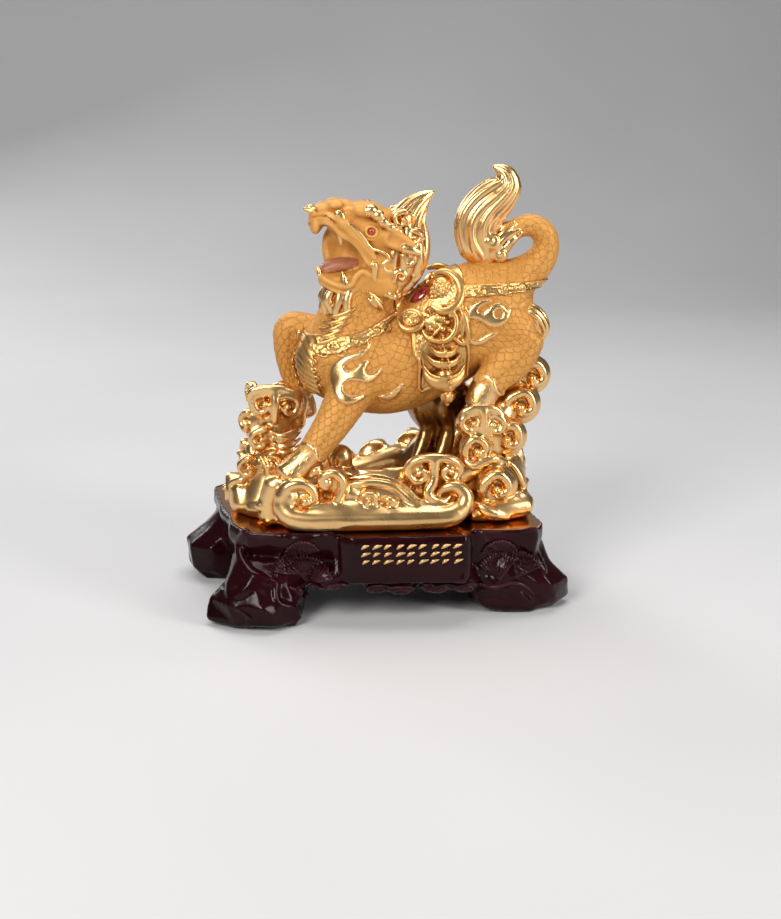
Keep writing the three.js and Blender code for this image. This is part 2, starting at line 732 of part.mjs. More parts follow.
// Plinth: slab with a waist, four rock feet, front panel and lobed apron.
function plinth() {
  const bodyOutline = plinthOutline.map(([x, y]) => [x, Math.max(y, panelBack)]);
  const body = stack([
    [skirtHeight, inset(bodyOutline, 7)],
    [upSkirt(0.19), inset(bodyOutline, 4)],
    [upSkirt(0.43), inset(bodyOutline, 5)],
    [upSkirt(0.7), inset(bodyOutline, 0)],
    [upSkirt(0.92), inset(bodyOutline, -0.5)],
    [rimHeight, inset(bodyOutline, 1.5)],
  ]);
  const feet = footLevels.map((levels, number) => {
    const raised = levels.map(([z, ...rest]) => [(z * skirtHeight) / 26, ...rest]);
    return foot(raised, number + 1);
  });
  const panelFace = [[-30, -40], [-29.5, -69], [-22, -75], [56, -79.5], [61.5, -74], [62, -40]];
  const panel = stack([
    [upSkirt(0.08), inset(panelFace, 2.5)],
    [upSkirt(0.16), panelFace],
    [upSkirt(0.86), panelFace],
    [rimHeight, inset(panelFace, 1.5)],
  ]);
  const lobes = [];
  for (const [x, above, r] of [[-5, 1.5, 12], [13, 0, 13], [37, 0, 12], [57, 0, 12], [-36, 5, 12]]) {
    lobes.push(ball([x, -61, skirtHeight + above, r, 10, 7.5], { around: 8, rings: 4 }));
  }
  for (const [x, above, r] of [[-30, 2, 22], [20, 1, 26], [60, 3, 18]]) {
    lobes.push(ball([x, 66, skirtHeight + above, r, 9, 8], { around: 8, rings: 4 }));
  }
  const whole = join([body, ...feet, panel, ...lobes]);
  const plateSeat = stack([
    [plateTop - plateThickness - clearance, inset(plateOutline(), -clearance)],
    [rimHeight + rimLip, inset(plateOutline(), -clearance)],
  ]);
  const ground = slab([[-200, -40], [200, -40], [200, 0], [-200, 0]], -150, 150);
  return fitted(geometryOf(whole.subtract(ground)), plateSeat);
}

// Outline of the gilt plate: the plinth's outline less the rim.
function plateOutline() {
  const drawn = plinthOutline.map(([x, y]) => [(x * plinthWidth) / 268, (y * plinthDepth) / 164]);
  return inset(drawn, rimWidth);
}

// Scales the plinth to its stated width and depth, centres it, and sinks the seat of the plate.
function fitted(geometry, plateSeat) {
  geometry.computeBoundingBox();
  const box = geometry.boundingBox;
  const size = box.getSize(new THREE.Vector3());
  const centre = box.getCenter(new THREE.Vector3());
  geometry.translate(-centre.x, -centre.y, 0);
  geometry.scale(plinthWidth / size.x, plinthDepth / size.y, 1);
  return withoutVoids(solidOf(geometry).subtract(plateSeat));
}

// Gilt plate that lines the top of the plinth, inside the rim.
function plate() {
  return stack([
    [plateTop - plateThickness, plateOutline()],
    [plateTop, plateOutline()],
  ]);
}

function piece(name, solid, finish, height) {
  const mesh = new THREE.Mesh(geometryOf(solid), new THREE.MeshStandardMaterial(finish));
  mesh.name = name;
  mesh.position.z = height;
  return mesh;
}

const cast = figure()
  .subtract(gem(clearance))
  .subtract(eye(eyePlaces.near, clearance))
  .subtract(eye(eyePlaces.far, clearance));

const qilin = new THREE.Group();
qilin.add(piece('plinth', plinth(), finishes.lacquer, 0));
qilin.add(piece('top_plate', plate(), finishes.mirrorGold, 0));
qilin.add(piece('qilin_figure', cast, finishes.mattGold, figureBase));
qilin.add(piece('saddle_gem', gem(0), finishes.redStone, figureBase));
qilin.add(piece('eye_stone_near', eye(eyePlaces.near, 0), finishes.redStone, figureBase));
qilin.add(piece('eye_stone_far', eye(eyePlaces.far, 0), finishes.redStone, figureBase));

export default qilin;
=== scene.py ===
# Gilt qilin figurine on a dark lacquered plinth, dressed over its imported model.
# Carving is worked in millimetres, in the model's own frame, and turned into metres at the end.
import math

import bpy
import numpy as np
import openvdb as vdb
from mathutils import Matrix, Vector


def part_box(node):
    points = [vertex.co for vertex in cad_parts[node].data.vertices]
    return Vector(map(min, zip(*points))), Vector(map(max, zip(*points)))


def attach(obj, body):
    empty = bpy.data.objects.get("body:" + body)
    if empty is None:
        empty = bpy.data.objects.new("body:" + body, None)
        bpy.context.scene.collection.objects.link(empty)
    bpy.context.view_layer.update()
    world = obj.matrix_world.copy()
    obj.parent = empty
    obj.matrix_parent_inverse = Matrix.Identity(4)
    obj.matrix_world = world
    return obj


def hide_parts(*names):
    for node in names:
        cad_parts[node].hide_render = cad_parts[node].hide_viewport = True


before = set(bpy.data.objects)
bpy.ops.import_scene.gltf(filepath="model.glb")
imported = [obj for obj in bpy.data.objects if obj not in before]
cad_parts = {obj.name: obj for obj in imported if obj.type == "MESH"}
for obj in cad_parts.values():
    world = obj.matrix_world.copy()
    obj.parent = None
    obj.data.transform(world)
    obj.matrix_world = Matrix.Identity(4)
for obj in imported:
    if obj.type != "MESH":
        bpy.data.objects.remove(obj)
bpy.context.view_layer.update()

# Millimetres in a metre.
METRE = 1000.0
# Distances for empty clay, and for places where a mask leaves a form off.
EMPTY = 99.0
LEFT_OFF = 9.0

figure_low, figure_high = (METRE * np.array(corner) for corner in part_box("qilin_figure"))
plinth_low, plinth_high = (METRE * np.array(corner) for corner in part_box("plinth"))

# The animal is drawn at this height above its clouds' flat underside.
DRAWN_HEIGHT = 237.46
BASE = figure_low[2]
SHARE = (figure_high[2] - BASE) / DRAWN_HEIGHT


# Closed forms: each function gives (points, triangles) in drawn millimetres.

def spline(rows, steps):
    """Smooth centripetal curve through rows of numbers whose first three are a place."""
    rows = np.asarray(rows, float)
    knots = np.vstack([2 * rows[0] - rows[1], rows, 2 * rows[-1] - rows[-2]])
    out = []
    for p0, p1, p2, p3 in zip(knots, knots[1:], knots[2:], knots[3:]):
        t1 = np.linalg.norm((p1 - p0)[:3]) ** 0.5
        t2 = t1 + np.linalg.norm((p2 - p1)[:3]) ** 0.5
        t3 = t2 + np.linalg.norm((p3 - p2)[:3]) ** 0.5
        for t in np.linspace(t1, t2, steps, endpoint=False):
            a1 = ((t1 - t) * p0 + t * p1) / t1
            a2 = ((t2 - t) * p1 + (t - t1) * p2) / (t2 - t1)
            a3 = ((t3 - t) * p2 + (t - t2) * p3) / (t3 - t2)
            b1 = ((t2 - t) * a1 + t * a2) / t2
            b2 = ((t3 - t) * a2 + (t - t1) * a3) / (t3 - t1)
            out.append(((t2 - t) * b1 + (t - t1) * b2) / (t2 - t1))
    out.append(rows[-1])
    return np.array(out)


def unit(vectors):
    return vectors / np.maximum(np.linalg.norm(vectors, axis=-1, keepdims=True), 1e-9)


def skin(rings, start, end):
    """Closed body through rings of points, with a pole at each end."""
    rings = np.asarray(rings, float)
    count, sides = rings.shape[:2]
    points = np.vstack([rings.reshape(-1, 3), [start, end]])
    j = np.arange(sides)
    k = (j + 1) % sides
    triangles = [np.column_stack([np.full(sides, count * sides), k, j])]
    for i in range(count - 1):
        a = i * sides
        b = a + sides
        triangles.append(np.column_stack([a + j, a + k, b + j]))
        triangles.append(np.column_stack([a + k, b + k, b + j]))
    top = (count - 1) * sides
    triangles.append(np.column_stack([np.full(sides, count * sides + 1), top + j, top + k]))
    return points, np.vstack(triangles)


def frames(line, across):
    """Forward, side and up directions along a line of places."""
    forward = unit(np.gradient(line, axis=0))
    across = np.broadcast_to(np.asarray(across, float), line.shape)
    side = unit(across - forward * np.sum(across * forward, axis=1, keepdims=True))
    return forward, side, np.cross(forward, side)


# Angles in degrees of the rings that round off a bar's ends.
CAP_ANGLES = (67, 45, 22)
# A direction across that no drawn line runs along.
ASKEW = (0.03, 1, 0.11)
# Bars and balls are never thinner than this, in millimetres.
LEAST = 0.2
BALL_SIDES = 24
CURL_SIDES = 72


def bar(stations, across=(0, 1, 0), sides=28, steps=6, blunt=0.7):
    """Rounded bar through stations [x, y, z, half width, half height]; the half width lies across."""
    rows = spline(stations, steps)
    line = rows[:, :3]
    wide, high = np.maximum(rows[:, 3:5], LEAST).T
    forward, side, up = frames(line, across)
    angle = 2 * np.pi * np.arange(sides) / sides
    rings = []

    def ring(i, reach, shrink):
        centre = line[i] + forward[i] * reach
        spread = np.outer(np.cos(angle), side[i]) * wide[i] + np.outer(np.sin(angle), up[i]) * high[i]
        rings.append(centre + spread * shrink)

    caps = [math.radians(a) for a in CAP_ANGLES]
    first = min(wide[0], high[0]) * blunt
    last = min(wide[-1], high[-1]) * blunt
    for cap in caps:
        ring(0, -first * math.sin(cap), math.cos(cap))
    for i in range(len(line)):
        ring(i, 0, 1)
    for cap in reversed(caps):
        ring(-1, last * math.sin(cap), math.cos(cap))
    return skin(rings, line[0] - forward[0] * first, line[-1] + forward[-1] * last)


def turned(points, tilt=0.0, turn=0.0, roll=0.0):
    """Points rolled about X, tilted about Y, then turned about Z, in degrees."""
    r, t, s = (math.radians(a) for a in (roll, tilt, turn))
    about_x = np.array([[1, 0, 0], [0, math.cos(r), -math.sin(r)], [0, math.sin(r), math.cos(r)]])
    about_y = np.array([[math.cos(t), 0, math.sin(t)], [0, 1, 0], [-math.sin(t), 0, math.cos(t)]])
    about_z = np.array([[math.cos(s), -math.sin(s), 0], [math.sin(s), math.cos(s), 0], [0, 0, 1]])
    return points @ (about_z @ about_y @ about_x).T


def ball(x, y, z, rx, ry=None, rz=None, tilt=0.0, turn=0.0, roll=0.0):
    """Ellipsoid."""
    angle = 2 * np.pi * np.arange(BALL_SIDES) / BALL_SIDES
    rings = []
    for a in np.linspace(0, np.pi, 14)[1:-1]:
        rings.append(np.column_stack([
            math.sin(a) * np.cos(angle), math.sin(a) * np.sin(angle), np.full(BALL_SIDES, -math.cos(a)),
        ]))
    points, triangles = skin(rings, (0, 0, -1), (0, 0, 1))
    return turned(points * (rx, ry or rx, rz or rx), tilt, turn, roll) + (x, y, z), triangles


def puff(x, y, z, radius, spin, hand, thick, turn):
    """Small rolled curl that faces -Y before it is turned: a dome with a spiral groove."""
    angle = 2 * np.pi * np.arange(CURL_SIDES) / CURL_SIDES
    profile = [(0.55, 0.95), (0.85, 0.7), (0.98, 0.35), (1.0, 0.0), (0.97, -0.2)]
    profile += [(reach, -0.2 - 0.42 * (1 - reach ** 2.2)) for reach in np.linspace(0.93, 0.05, 26)]
    rings = []
    for level, (reach, lift) in enumerate(profile):
        groove = 0.0
        if level > 3:
            phase = 1.35 * reach ** 0.8 - hand * (angle - math.radians(spin)) / (2 * np.pi)
            part = phase - np.floor(phase)
            valley = np.exp(-((part - 0.08) / 0.13) ** 2) + np.exp(-((part - 1.08) / 0.13) ** 2)
            swell = 0.35 * np.sin(np.pi * part) ** 2
            edge = np.clip((0.97 - reach) / 0.2, 0, 1) * np.clip((reach - 0.1) / 0.2, 0, 1)
            groove = 0.24 * (valley - swell) * edge
        spread = radius * reach
        back = np.broadcast_to(radius * thick * (lift + groove), angle.shape)
        rings.append(np.column_stack([spread * np.cos(angle), back, spread * np.sin(angle)]))
    points, triangles = skin(rings, (0, radius * thick, 0), (0, -radius * thick * 0.62, 0))
    return turned(points, turn=turn) + (x, y, z), triangles


def ribbon(path, radius, taper=0.0):
    """Round cord along a path of places, thinner towards both ends by the share taper."""
    line = spline(path, 6)
    t = np.linspace(0, 1, len(line))
    girth = radius * (1 - taper * (2 * t - 1) ** 2)
    return bar(np.column_stack([line, girth, girth]), across=ASKEW, sides=12, steps=1, blunt=1.0)


def circle(count):
    """Cosines and sines of that many angles round a closed circle, first and last the same."""
    angle = np.linspace(0, 2 * np.pi, count)
    return np.cos(angle), np.sin(angle)


# Clay: signed distances on a grid, negative inside, in millimetres of the row frame.

class Clay:
    """A block of signed distances that forms are added to and cut from."""

    def __init__(self, low, high, cell, band=3.5, lift=BASE, share=SHARE):
        self.cell = cell * 1.0
        self.band = band
        self.lift = lift
        self.share = share
        self.start = np.floor(self.real(np.array(low, float)) / self.cell).astype(int)
        self.size = np.ceil(self.real(np.array(high, float)) / self.cell).astype(int) - self.start
        self.field = np.full(self.size, EMPTY, np.float32)

    def real(self, points):
        """Drawn millimetres to millimetres of the row frame."""
        return points * self.share + (0, 0, self.lift)

    def axes(self):
        """Drawn coordinates of the grid along x, y and z, ready to broadcast."""
        marks = [(self.start[i] + np.arange(self.size[i])) * self.cell for i in range(3)]
        marks[2] = marks[2] - self.lift
        x, y, z = (m / self.share for m in marks)
        return x[:, None, None], y[None, :, None], z[None, None, :]

    def near(self, form):
        """Signed distances of a form inside this block, true within the band: (window, values)."""
        points, triangles = form
        grid = vdb.FloatGrid.createLevelSetFromPolygons(
            self.real(points).astype(np.float32), triangles=triangles.astype(np.int32),
            transform=vdb.createLinearTransform(self.cell), halfWidth=self.band / self.cell + 1.5)
        low, high = (np.array(corner) for corner in grid.evalActiveVoxelBoundingBox())
        low = np.maximum(low, self.start)
        high = np.minimum(high + 1, self.start + self.size)
        if np.any(high <= low):
            return None, None
        values = np.empty(high - low, np.float32)
        grid.copyToArray(values, ijk=tuple(int(v) for v in low))
        window = tuple(slice(int(a), int(b)) for a, b in zip(low - self.start, high - self.start))
        return window, values

    def add(self, form, blend):
        """Joins a form on, with a fillet of about the blend."""
        window, values = self.near(form)
        if window:
            self.field[window] = soft_min(self.field[window], values, blend)

    def add_all(self, forms, blend):
        """Joins several forms on, one after the other."""
        for form in forms:
            self.add(form, blend)

    def cut(self, form, blend):
        """Cuts a form away, with a rounded edge."""
        window, values = self.near(form)
        if window:
            self.field[window] = -soft_min(-self.field[window], values, blend)

    def join(self, values, blend=0.0):
        """Joins on a form that is given as distances over the whole block."""
        self.field = soft_min(self.field, values.astype(np.float32), blend)

    def trim(self, values):
        """Takes off all that lies where the values are above 0."""
        self.field = np.maximum(self.field, values).astype(np.float32)

    def only(self, forms):
        """Distances of a few forms alone, on the whole block."""
        whole = np.full(self.size, EMPTY, np.float32)
        for form in forms:
            window, values = self.near(form)
            if window:
                whole[window] = np.minimum(whole[window], values)
        return whole

    def sample(self, values, points):
        """Values of a field at places of the row frame."""
        at = points / self.cell - self.start
        at = np.clip(at, 0, np.array(self.size) - 1.001)
        low = at.astype(int)
        part = (at - low).astype(np.float32)
        out = 0.0
        for step in np.ndindex(2, 2, 2):
            weight = np.prod(np.abs(1 - np.array(step, np.float32) - part), axis=1)
            out = out + weight * values[tuple((low + step).T)]
        return out

    def borrow(self, other, values):
        """Another block's values, resampled on this block's grid."""
        out = values
        for axis in range(3):
            at = (self.start[axis] + np.arange(self.size[axis])) * self.cell / other.cell - other.start[axis]
            at = np.clip(at, 0, other.size[axis] - 1.001)
            low = at.astype(int)
            part = (at - low).astype(np.float32).reshape([-1 if i == axis else 1 for i in range(3)])
            first = np.take(out, low, axis=axis)
            out = first + (np.take(out, low + 1, axis=axis) - first) * part
        return out

    def surface(self, merge=0.0, share=1.0):
        """Points and faces of the surface; merge joins cells where it is flat.
        Only the largest body is kept, and those with at least this share of its faces."""
        field = np.ascontiguousarray(np.clip(self.field, -4, 4))
        for axis in range(3):
            edge = np.moveaxis(field, axis, 0)
            edge[0] = np.maximum(edge[0], 0.5)
            edge[-1] = np.maximum(edge[-1], 0.5)
        grid = vdb.FloatGrid(4.0)
        grid.copyFromArray(field, ijk=tuple(int(v) for v in self.start), tolerance=0.0)
        grid.transform = vdb.createLinearTransform(self.cell)
        if merge:
            points, triangles, quads = grid.convertToPolygons(0.0, merge)
            faces = np.vstack([triangles, quads[:, [0, 1, 2]], quads[:, [0, 2, 3]]]).astype(np.int64)
        else:
            points, faces = grid.convertToQuads(0.0)
            faces = faces.astype(np.int64)
        corners = points[faces[:, :3]]
        volume = np.einsum("ij,ij->i", corners[:, 0], np.cross(corners[:, 1], corners[:, 2])).sum()
        if volume < 0:
            faces = faces[:, ::-1]
        return largest(points.astype(np.float64), faces, share)


def soft_min(a, b, blend):
    """Smaller of two distances, rounded where they meet."""
    if blend <= 0:
        return np.minimum(a, b)
    overlap = np.maximum(blend - np.abs(a - b), 0) / blend
    return np.minimum(a, b) - overlap * overlap * blend * 0.25


def blurred(values, cells):
    """Values smoothed over about that many cells, along each axis."""
    out = values
    for axis in range(3):
        total = np.cumsum(np.moveaxis(out, axis, 0).astype(np.float64), axis=0)
        wide = 2 * cells + 1
        mean = (total[wide:] - total[:-wide]) / wide
        inner = np.moveaxis(out, axis, 0).copy()
        inner[cells + 1:-cells] = mean
        out = np.moveaxis(inner, 0, axis)
    return np.ascontiguousarray(out)


def largest(points, quads, share):
    """The connected parts of a mesh that have at least this share of the largest part's faces."""
    label = np.arange(len(points))
    while True:
        least = label[quads].min(axis=1)
        fresh = label.copy()
        for corner in quads.T:
            np.minimum.at(fresh, corner, least)
        fresh = fresh[fresh]
        if np.array_equal(fresh, label):
            break
        label = fresh
    owner = label[quads[:, 0]]
    names, counts = np.unique(owner, return_counts=True)
    kept = quads[np.isin(owner, names[counts >= share * counts.max()])]
    used, index = np.unique(kept, return_inverse=True)
    return points[used], index.reshape(kept.shape)


def outline_distance(x, z, points):
    """Signed distance to a closed outline in the XZ plane, negative inside."""
    best = np.full(np.broadcast(x, z).shape, 1e9)
    inside = np.zeros(best.shape, bool)
    for (ax, az), (bx, bz) in zip(points, np.roll(points, -1, axis=0)):
        dx, dz = bx - ax, bz - az
        t = np.clip(((x - ax) * dx + (z - az) * dz) / (dx * dx + dz * dz + 1e-12), 0, 1)
        best = np.minimum(best, (x - ax - t * dx) ** 2 + (z - az - t * dz) ** 2)
        crosses = (az > z) != (bz > z)
        inside ^= crosses & (x < (bx - ax) * (z - az) / (bz - az + 1e-12) + ax)
    return np.where(inside, -1, 1) * np.sqrt(best)


def closed_curve(points, count=90):
    """Smooth closed outline through a few points in X and Z."""
    points = np.asarray(points, float)
    rows = np.column_stack([points, np.zeros(len(points))])
    rows = np.vstack([rows[-2:], rows, rows[:3]])
    steps = max(2, count // len(points))
    line = spline(rows, steps)
    return line[2 * steps:-2 * steps - 1, :2]


def vertex_normals(points, quads):
    """Normals of the vertices of a mesh of quads."""
    across = points[quads[:, 2]] - points[quads[:, 0]]
    down = points[quads[:, -1]] - points[quads[:, 1]]
    faces = np.cross(across, down)
    normals = np.zeros_like(points)
    for corner in quads.T:
        np.add.at(normals, corner, faces)
    return unit(normals)


def eased(points, quads, rounds, share):
    """Points moved part of the way to the middle of their faces, which takes the grid's marks out."""
    for _ in range(rounds):
        middle = points[quads].mean(axis=1)
        total = np.zeros_like(points)
        count = np.zeros(len(points))
        for corner in quads.T:
            np.add.at(total, corner, middle)
            np.add.at(count, corner, 1)
        points = points + share * (total / count[:, None] - points)
    return points


def make_piece(name, points, quads, material, node, slot, **attributes):
    """Blender object of a carved mesh that rides with the model and stands for a CAD node."""
    mesh = bpy.data.meshes.new(name)
    mesh.vertices.add(len(points))
    mesh.vertices.foreach_set("co", (points / METRE).astype(np.float32).ravel())
    mesh.loops.add(quads.size)
    mesh.loops.foreach_set("vertex_index", quads.astype(np.int32).ravel())
    mesh.polygons.add(len(quads))
    mesh.polygons.foreach_set("loop_start", np.arange(0, quads.size, quads.shape[1], dtype=np.int32))
    mesh.polygons.foreach_set("loop_total", np.full(len(quads), quads.shape[1], dtype=np.int32))
    mesh.polygons.foreach_set("use_smooth", np.ones(len(quads), bool))
    mesh.update(calc_edges=True)
    mesh.validate()
    for key, values in attributes.items():
        layer = mesh.attributes.new(key, "FLOAT", "POINT")
        layer.data.foreach_set("value", np.asarray(values, np.float32))
    mesh.materials.append(material)
    thing = bpy.data.objects.new(name, mesh)
    bpy.context.scene.collection.objects.link(thing)
    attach(thing, "root")
    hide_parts(node)
    return thing


# Hollows are measured against the mean within this many millimetres.
HOLLOW_REACH = 1.6


def carved(clay, name, material, node="qilin_figure", slot="matt_gold", relief=None, merge=0.0, share=1.0,
           **fields):
    """Piece from a block of clay, with its crevices measured for the finish, which paints shade into hollows
    from them and, on matt gilt and lacquer, highlights onto edges.
    relief(points, sampled) gives extra height in mm and more attributes; fields become attributes."""
    hollow = blurred(np.clip(clay.field, -6, 6), max(1, round(HOLLOW_REACH / clay.cell)))
    points, quads = clay.surface(merge, share)
    points = eased(points, quads, 2, 0.4)
    crease = -clay.sample(hollow, points)
    sampled = {key: clay.sample(values, points) for key, values in fields.items()}
    if relief:
        height, more = relief(points, sampled)
        points = points + vertex_normals(points, quads) * height[:, None]
        sampled.update(more)
    return make_piece(name, points, quads, material, node, slot, crease=crease, **sampled)


# The animal's main masses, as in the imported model: [x, y, z, half width, half height].
TORSO = [
    [-34, 0, 105, 18, 20], [-19, 0, 104, 25, 29], [8, 0, 101, 28, 33.5], [36, 0, 112.5, 27.5, 34.5],
    [64, 0, 133, 28, 36.5], [85, 0, 142, 26.5, 32], [96, 0, 144, 20, 23],
]
NECK = [[-18, 0, 108, 25, 30], [-14, 0, 128, 22, 26.5], [-9, -1, 147, 18, 23.5], [-2, -2, 163, 17, 22]]
CHEST = (-27, -1, 106, 23.5, 21, 27)
SHOULDER = [
    [-4, -13, 112, 14, 20], [-10, -18, 101, 14, 18.5], [-18, -25, 88, 13, 15.5],
    [-32, -34, 67, 10.5, 12], [-46, -40, 50, 8.5, 9.5], [-52, -42, 43, 8, 8.5],
]
RAISED_LEG = [
    [-18, 16, 112, 13, 18], [-30, 21, 115, 12.5, 16], [-46, 24, 121.5, 11, 13.5], [-55, 25, 123, 10, 12],
    [-57.5, 25, 111, 9, 9.8], [-57, 25, 98, 7.5, 7.8], [-54, 24, 86, 6.5, 6.6], [-49, 23, 75, 6.5, 6.6],
]
NEAR_THIGH = [[80, -8, 142, 16, 27], [86, -14, 129, 15, 25], [100, -19, 123, 12, 16]]
NEAR_SHIN = [[107, -20, 121, 9, 9.5], [97, -22, 110, 10, 13], [84, -24, 99.5, 10, 12.5],
             [75, -26, 91, 9, 10.5]]
FAR_THIGH = [[80, 8, 140, 16, 26], [82, 14, 122, 14, 22], [94, 18, 110, 10, 14]]
FAR_SHIN = [[103, 20, 110, 7.5, 8], [93, 21, 96, 7.5, 9], [82, 22, 82, 7.5, 8.5]]
TAIL = [
    [92, 0, 158, 13, 15], [104, 1, 163, 12, 13], [115, 2, 171, 10.5, 11], [120, 2, 182, 9, 9],
    [118, 2, 191, 8.5, 8.3], [109, 2, 196.5, 8, 7.6], [98, 2, 194, 7.5, 6.8], [86, 2, 185, 7, 7],
]
TUFT = [
    [77, 1, 172, 7, 9], [75.5, 1, 180, 8.5, 13.5], [71.5, 1, 190, 9.5, 13.5], [72, 1, 200, 9.5, 14],
    [78, 1, 209.5, 9, 13.5], [87, 1, 218, 8, 12], [92, 1, 226, 6.5, 8.8], [88.5, 1, 233, 4.5, 5.2],
    [82.5, 1, 236.4, 1.6, 1.3],
]

# Outlines of the carved flames on the near side, in X and Z.
FLAMES = [
    [(-2.4, 123.6), (-10.3, 117.6), (-19.3, 114.8), (-26.0, 111.2), (-30.8, 105.5), (-31.8, 99),
     (-30.2, 92.5), (-27.6, 87.4), (-22.8, 84.6), (-13.8, 84.4), (-7.0, 88.6), (-12, 89.0), (-18.3, 88.9),
     (-22.6, 90.8), (-23.8, 95.2), (-20.4, 98.6), (-14.0, 98.9), (-7.0, 96.9), (-1.4, 98.2), (3.6, 105.9),
     (0.6, 104.6), (-3.4, 102.4), (-7.2, 102.8), (-8.4, 106), (-4.8, 110.9), (-10.2, 110.6), (-15.2, 106.2),
     (-21.4, 104.8), (-22.2, 108.0), (-17.6, 111.6), (-10, 113.8)],
    [(60.8, 138.1), (62.6, 144.9), (68.6, 149.8), (78.4, 150.2), (72.4, 147.4), (69.0, 144.6), (68.6, 142.0),
     (71.4, 141.4), (74.6, 143.8), (78.0, 147.0), (82.8, 148.0), (87.0, 146.0), (88.6, 143.2), (91.4, 146.2),
     (90.8, 140.4), (86.6, 134.8), (80.5, 132.2), (74.5, 133.6), (69.8, 136.6), (65, 137.9)],
    [(62.8, 124.2), (69, 123.4), (75, 126.8), (81.4, 128.2), (76.6, 123.6), (70.5, 119.6), (63.5, 120.4)],
    [(1.5, 85.6), (8, 86.8), (13, 90.6), (18, 94.6), (16.6, 88.6), (11.5, 82.6), (4.5, 81.0)],
]
FLAME_EYES = [(82.4, 141.2, 3.0)]


# Main masses as (stations, sides, fillet), in the order they are joined to the torso and chest.
BODY_MASSES = [
    (NECK, 40, 10), (SHOULDER, 36, 6), (NEAR_THIGH, 36, 8), (RAISED_LEG, 32, 6), (FAR_THIGH, 32, 8),
    (FAR_SHIN, 32, 4), (NEAR_SHIN, 32, 4), (TAIL, 32, 8),
]


# Scales lie along these lines, as (mass, scales round it, reach it gives up to its neighbours).
# A point follows the line whose skin it is closest to.
SCALE_LINES = [
    (TORSO, 27, 2.5), (NECK, 20, 1.0), (SHOULDER, 13, 0.0), (RAISED_LEG, 10, 0.0), (NEAR_THIGH, 21, 0.5),
    (NEAR_SHIN, 10, 0.0), (FAR_THIGH, 18, 0.5), (FAR_SHIN, 8, 0.0), (TAIL, 10, 1.0),
]


def line_coordinates(points, stations):
    """Length along a bar, angle round it and closeness to its skin, for each point."""
    rows = spline(stations, 10)
    line = rows[:, :3]
    forward, side, up = frames(line, (0, 1, 0))
    length = np.concatenate([[0], np.cumsum(np.linalg.norm(np.diff(line, axis=0), axis=1))])
    away = points[:, None, :] - line[None]
    near = np.argmin(np.einsum("ijk,ijk->ij", away, away), axis=1)
    offset = points - line[near]
    along = length[near] + np.einsum("ij,ij->i", offset, forward[near])
    a = np.einsum("ij,ij->i", offset, side[near])
    b = np.einsum("ij,ij->i", offset, up[near])
    depth = np.hypot(a / rows[near, 3], b / rows[near, 4])
    girth = np.minimum(rows[near, 3], rows[near, 4])
    return along, np.arctan2(b, a), (depth - 1) * girth


# A scale is SCALE_PITCH millimetres long, and rows follow each other at SCALE_STEP of that. A scale reaches
# over SCALE_REACH of it along the line, and over SCALE_WIDE of its share round the line. SCALE_DEPTH is its
# relief in millimetres.
SCALE_PITCH = 7.5
SCALE_STEP = 0.60
SCALE_REACH = 0.82
SCALE_WIDE = 0.535
SCALE_DEPTH = 0.75
# Whole rows added to a place along a line, so that the count of rows is never negative.
ROW_OFFSET = 40


def scale_height(row, ring):
    """Relief of round overlapping scales, 0 to 1, whose free edges point along the line.
    row counts rows along the line and ring counts scales round it."""
    height = np.zeros(len(row))
    open_still = np.ones(len(row), bool)
    first = np.ceil(row - SCALE_REACH / SCALE_STEP)
    for k in range(3):
        centre = first + k
        shift = 0.5 * (centre % 2)
        nearest = np.round(ring - shift) + shift
        da = (row - centre) * SCALE_STEP / SCALE_REACH
        distance = np.hypot(da, (ring - nearest) / SCALE_WIDE)
        here = open_still & (distance < 1)
        rise = np.clip(0.5 + 0.5 * da, 0, 1)
        height = np.where(here, 0.15 + 0.85 * rise - 0.3 * np.clip((distance - 0.7) / 0.3, 0, 1) ** 2, height)
        open_still &= ~here
    return height


def body_relief(bare):
    """Relief of the scales, left off where the mask named bare is high."""
    def relief(points, sampled):
        drawn = (points - (0, 0, BASE)) / SHARE
        closest = np.full(len(points), 1e9)
        second = np.full(len(points), 1e9)
        row = np.zeros(len(points))
        ring = np.zeros(len(points))
        for stations, count, yields in SCALE_LINES:
            along, angle, depth = line_coordinates(drawn, stations)
            depth = np.abs(depth) + yields
            here = depth < closest
            second = np.where(here, closest, np.minimum(second, depth))
            closest = np.where(here, depth, closest)
            row = np.where(here, along / (SCALE_PITCH * SCALE_STEP) + ROW_OFFSET, row)
            ring = np.where(here, (angle / (2 * np.pi) + 0.5) * count, ring)
        clear = np.clip((second - closest) / 0.8, 0, 1) * (1 - np.clip(sampled[bare], 0, 1))
        height = (scale_height(row, ring) - 0.55) * SCALE_DEPTH * clear
        return height, {"row": row, "ring": ring, "clear": clear}
    return relief


# Finishes. Every one is worked out from object places, so it stays put on the part.

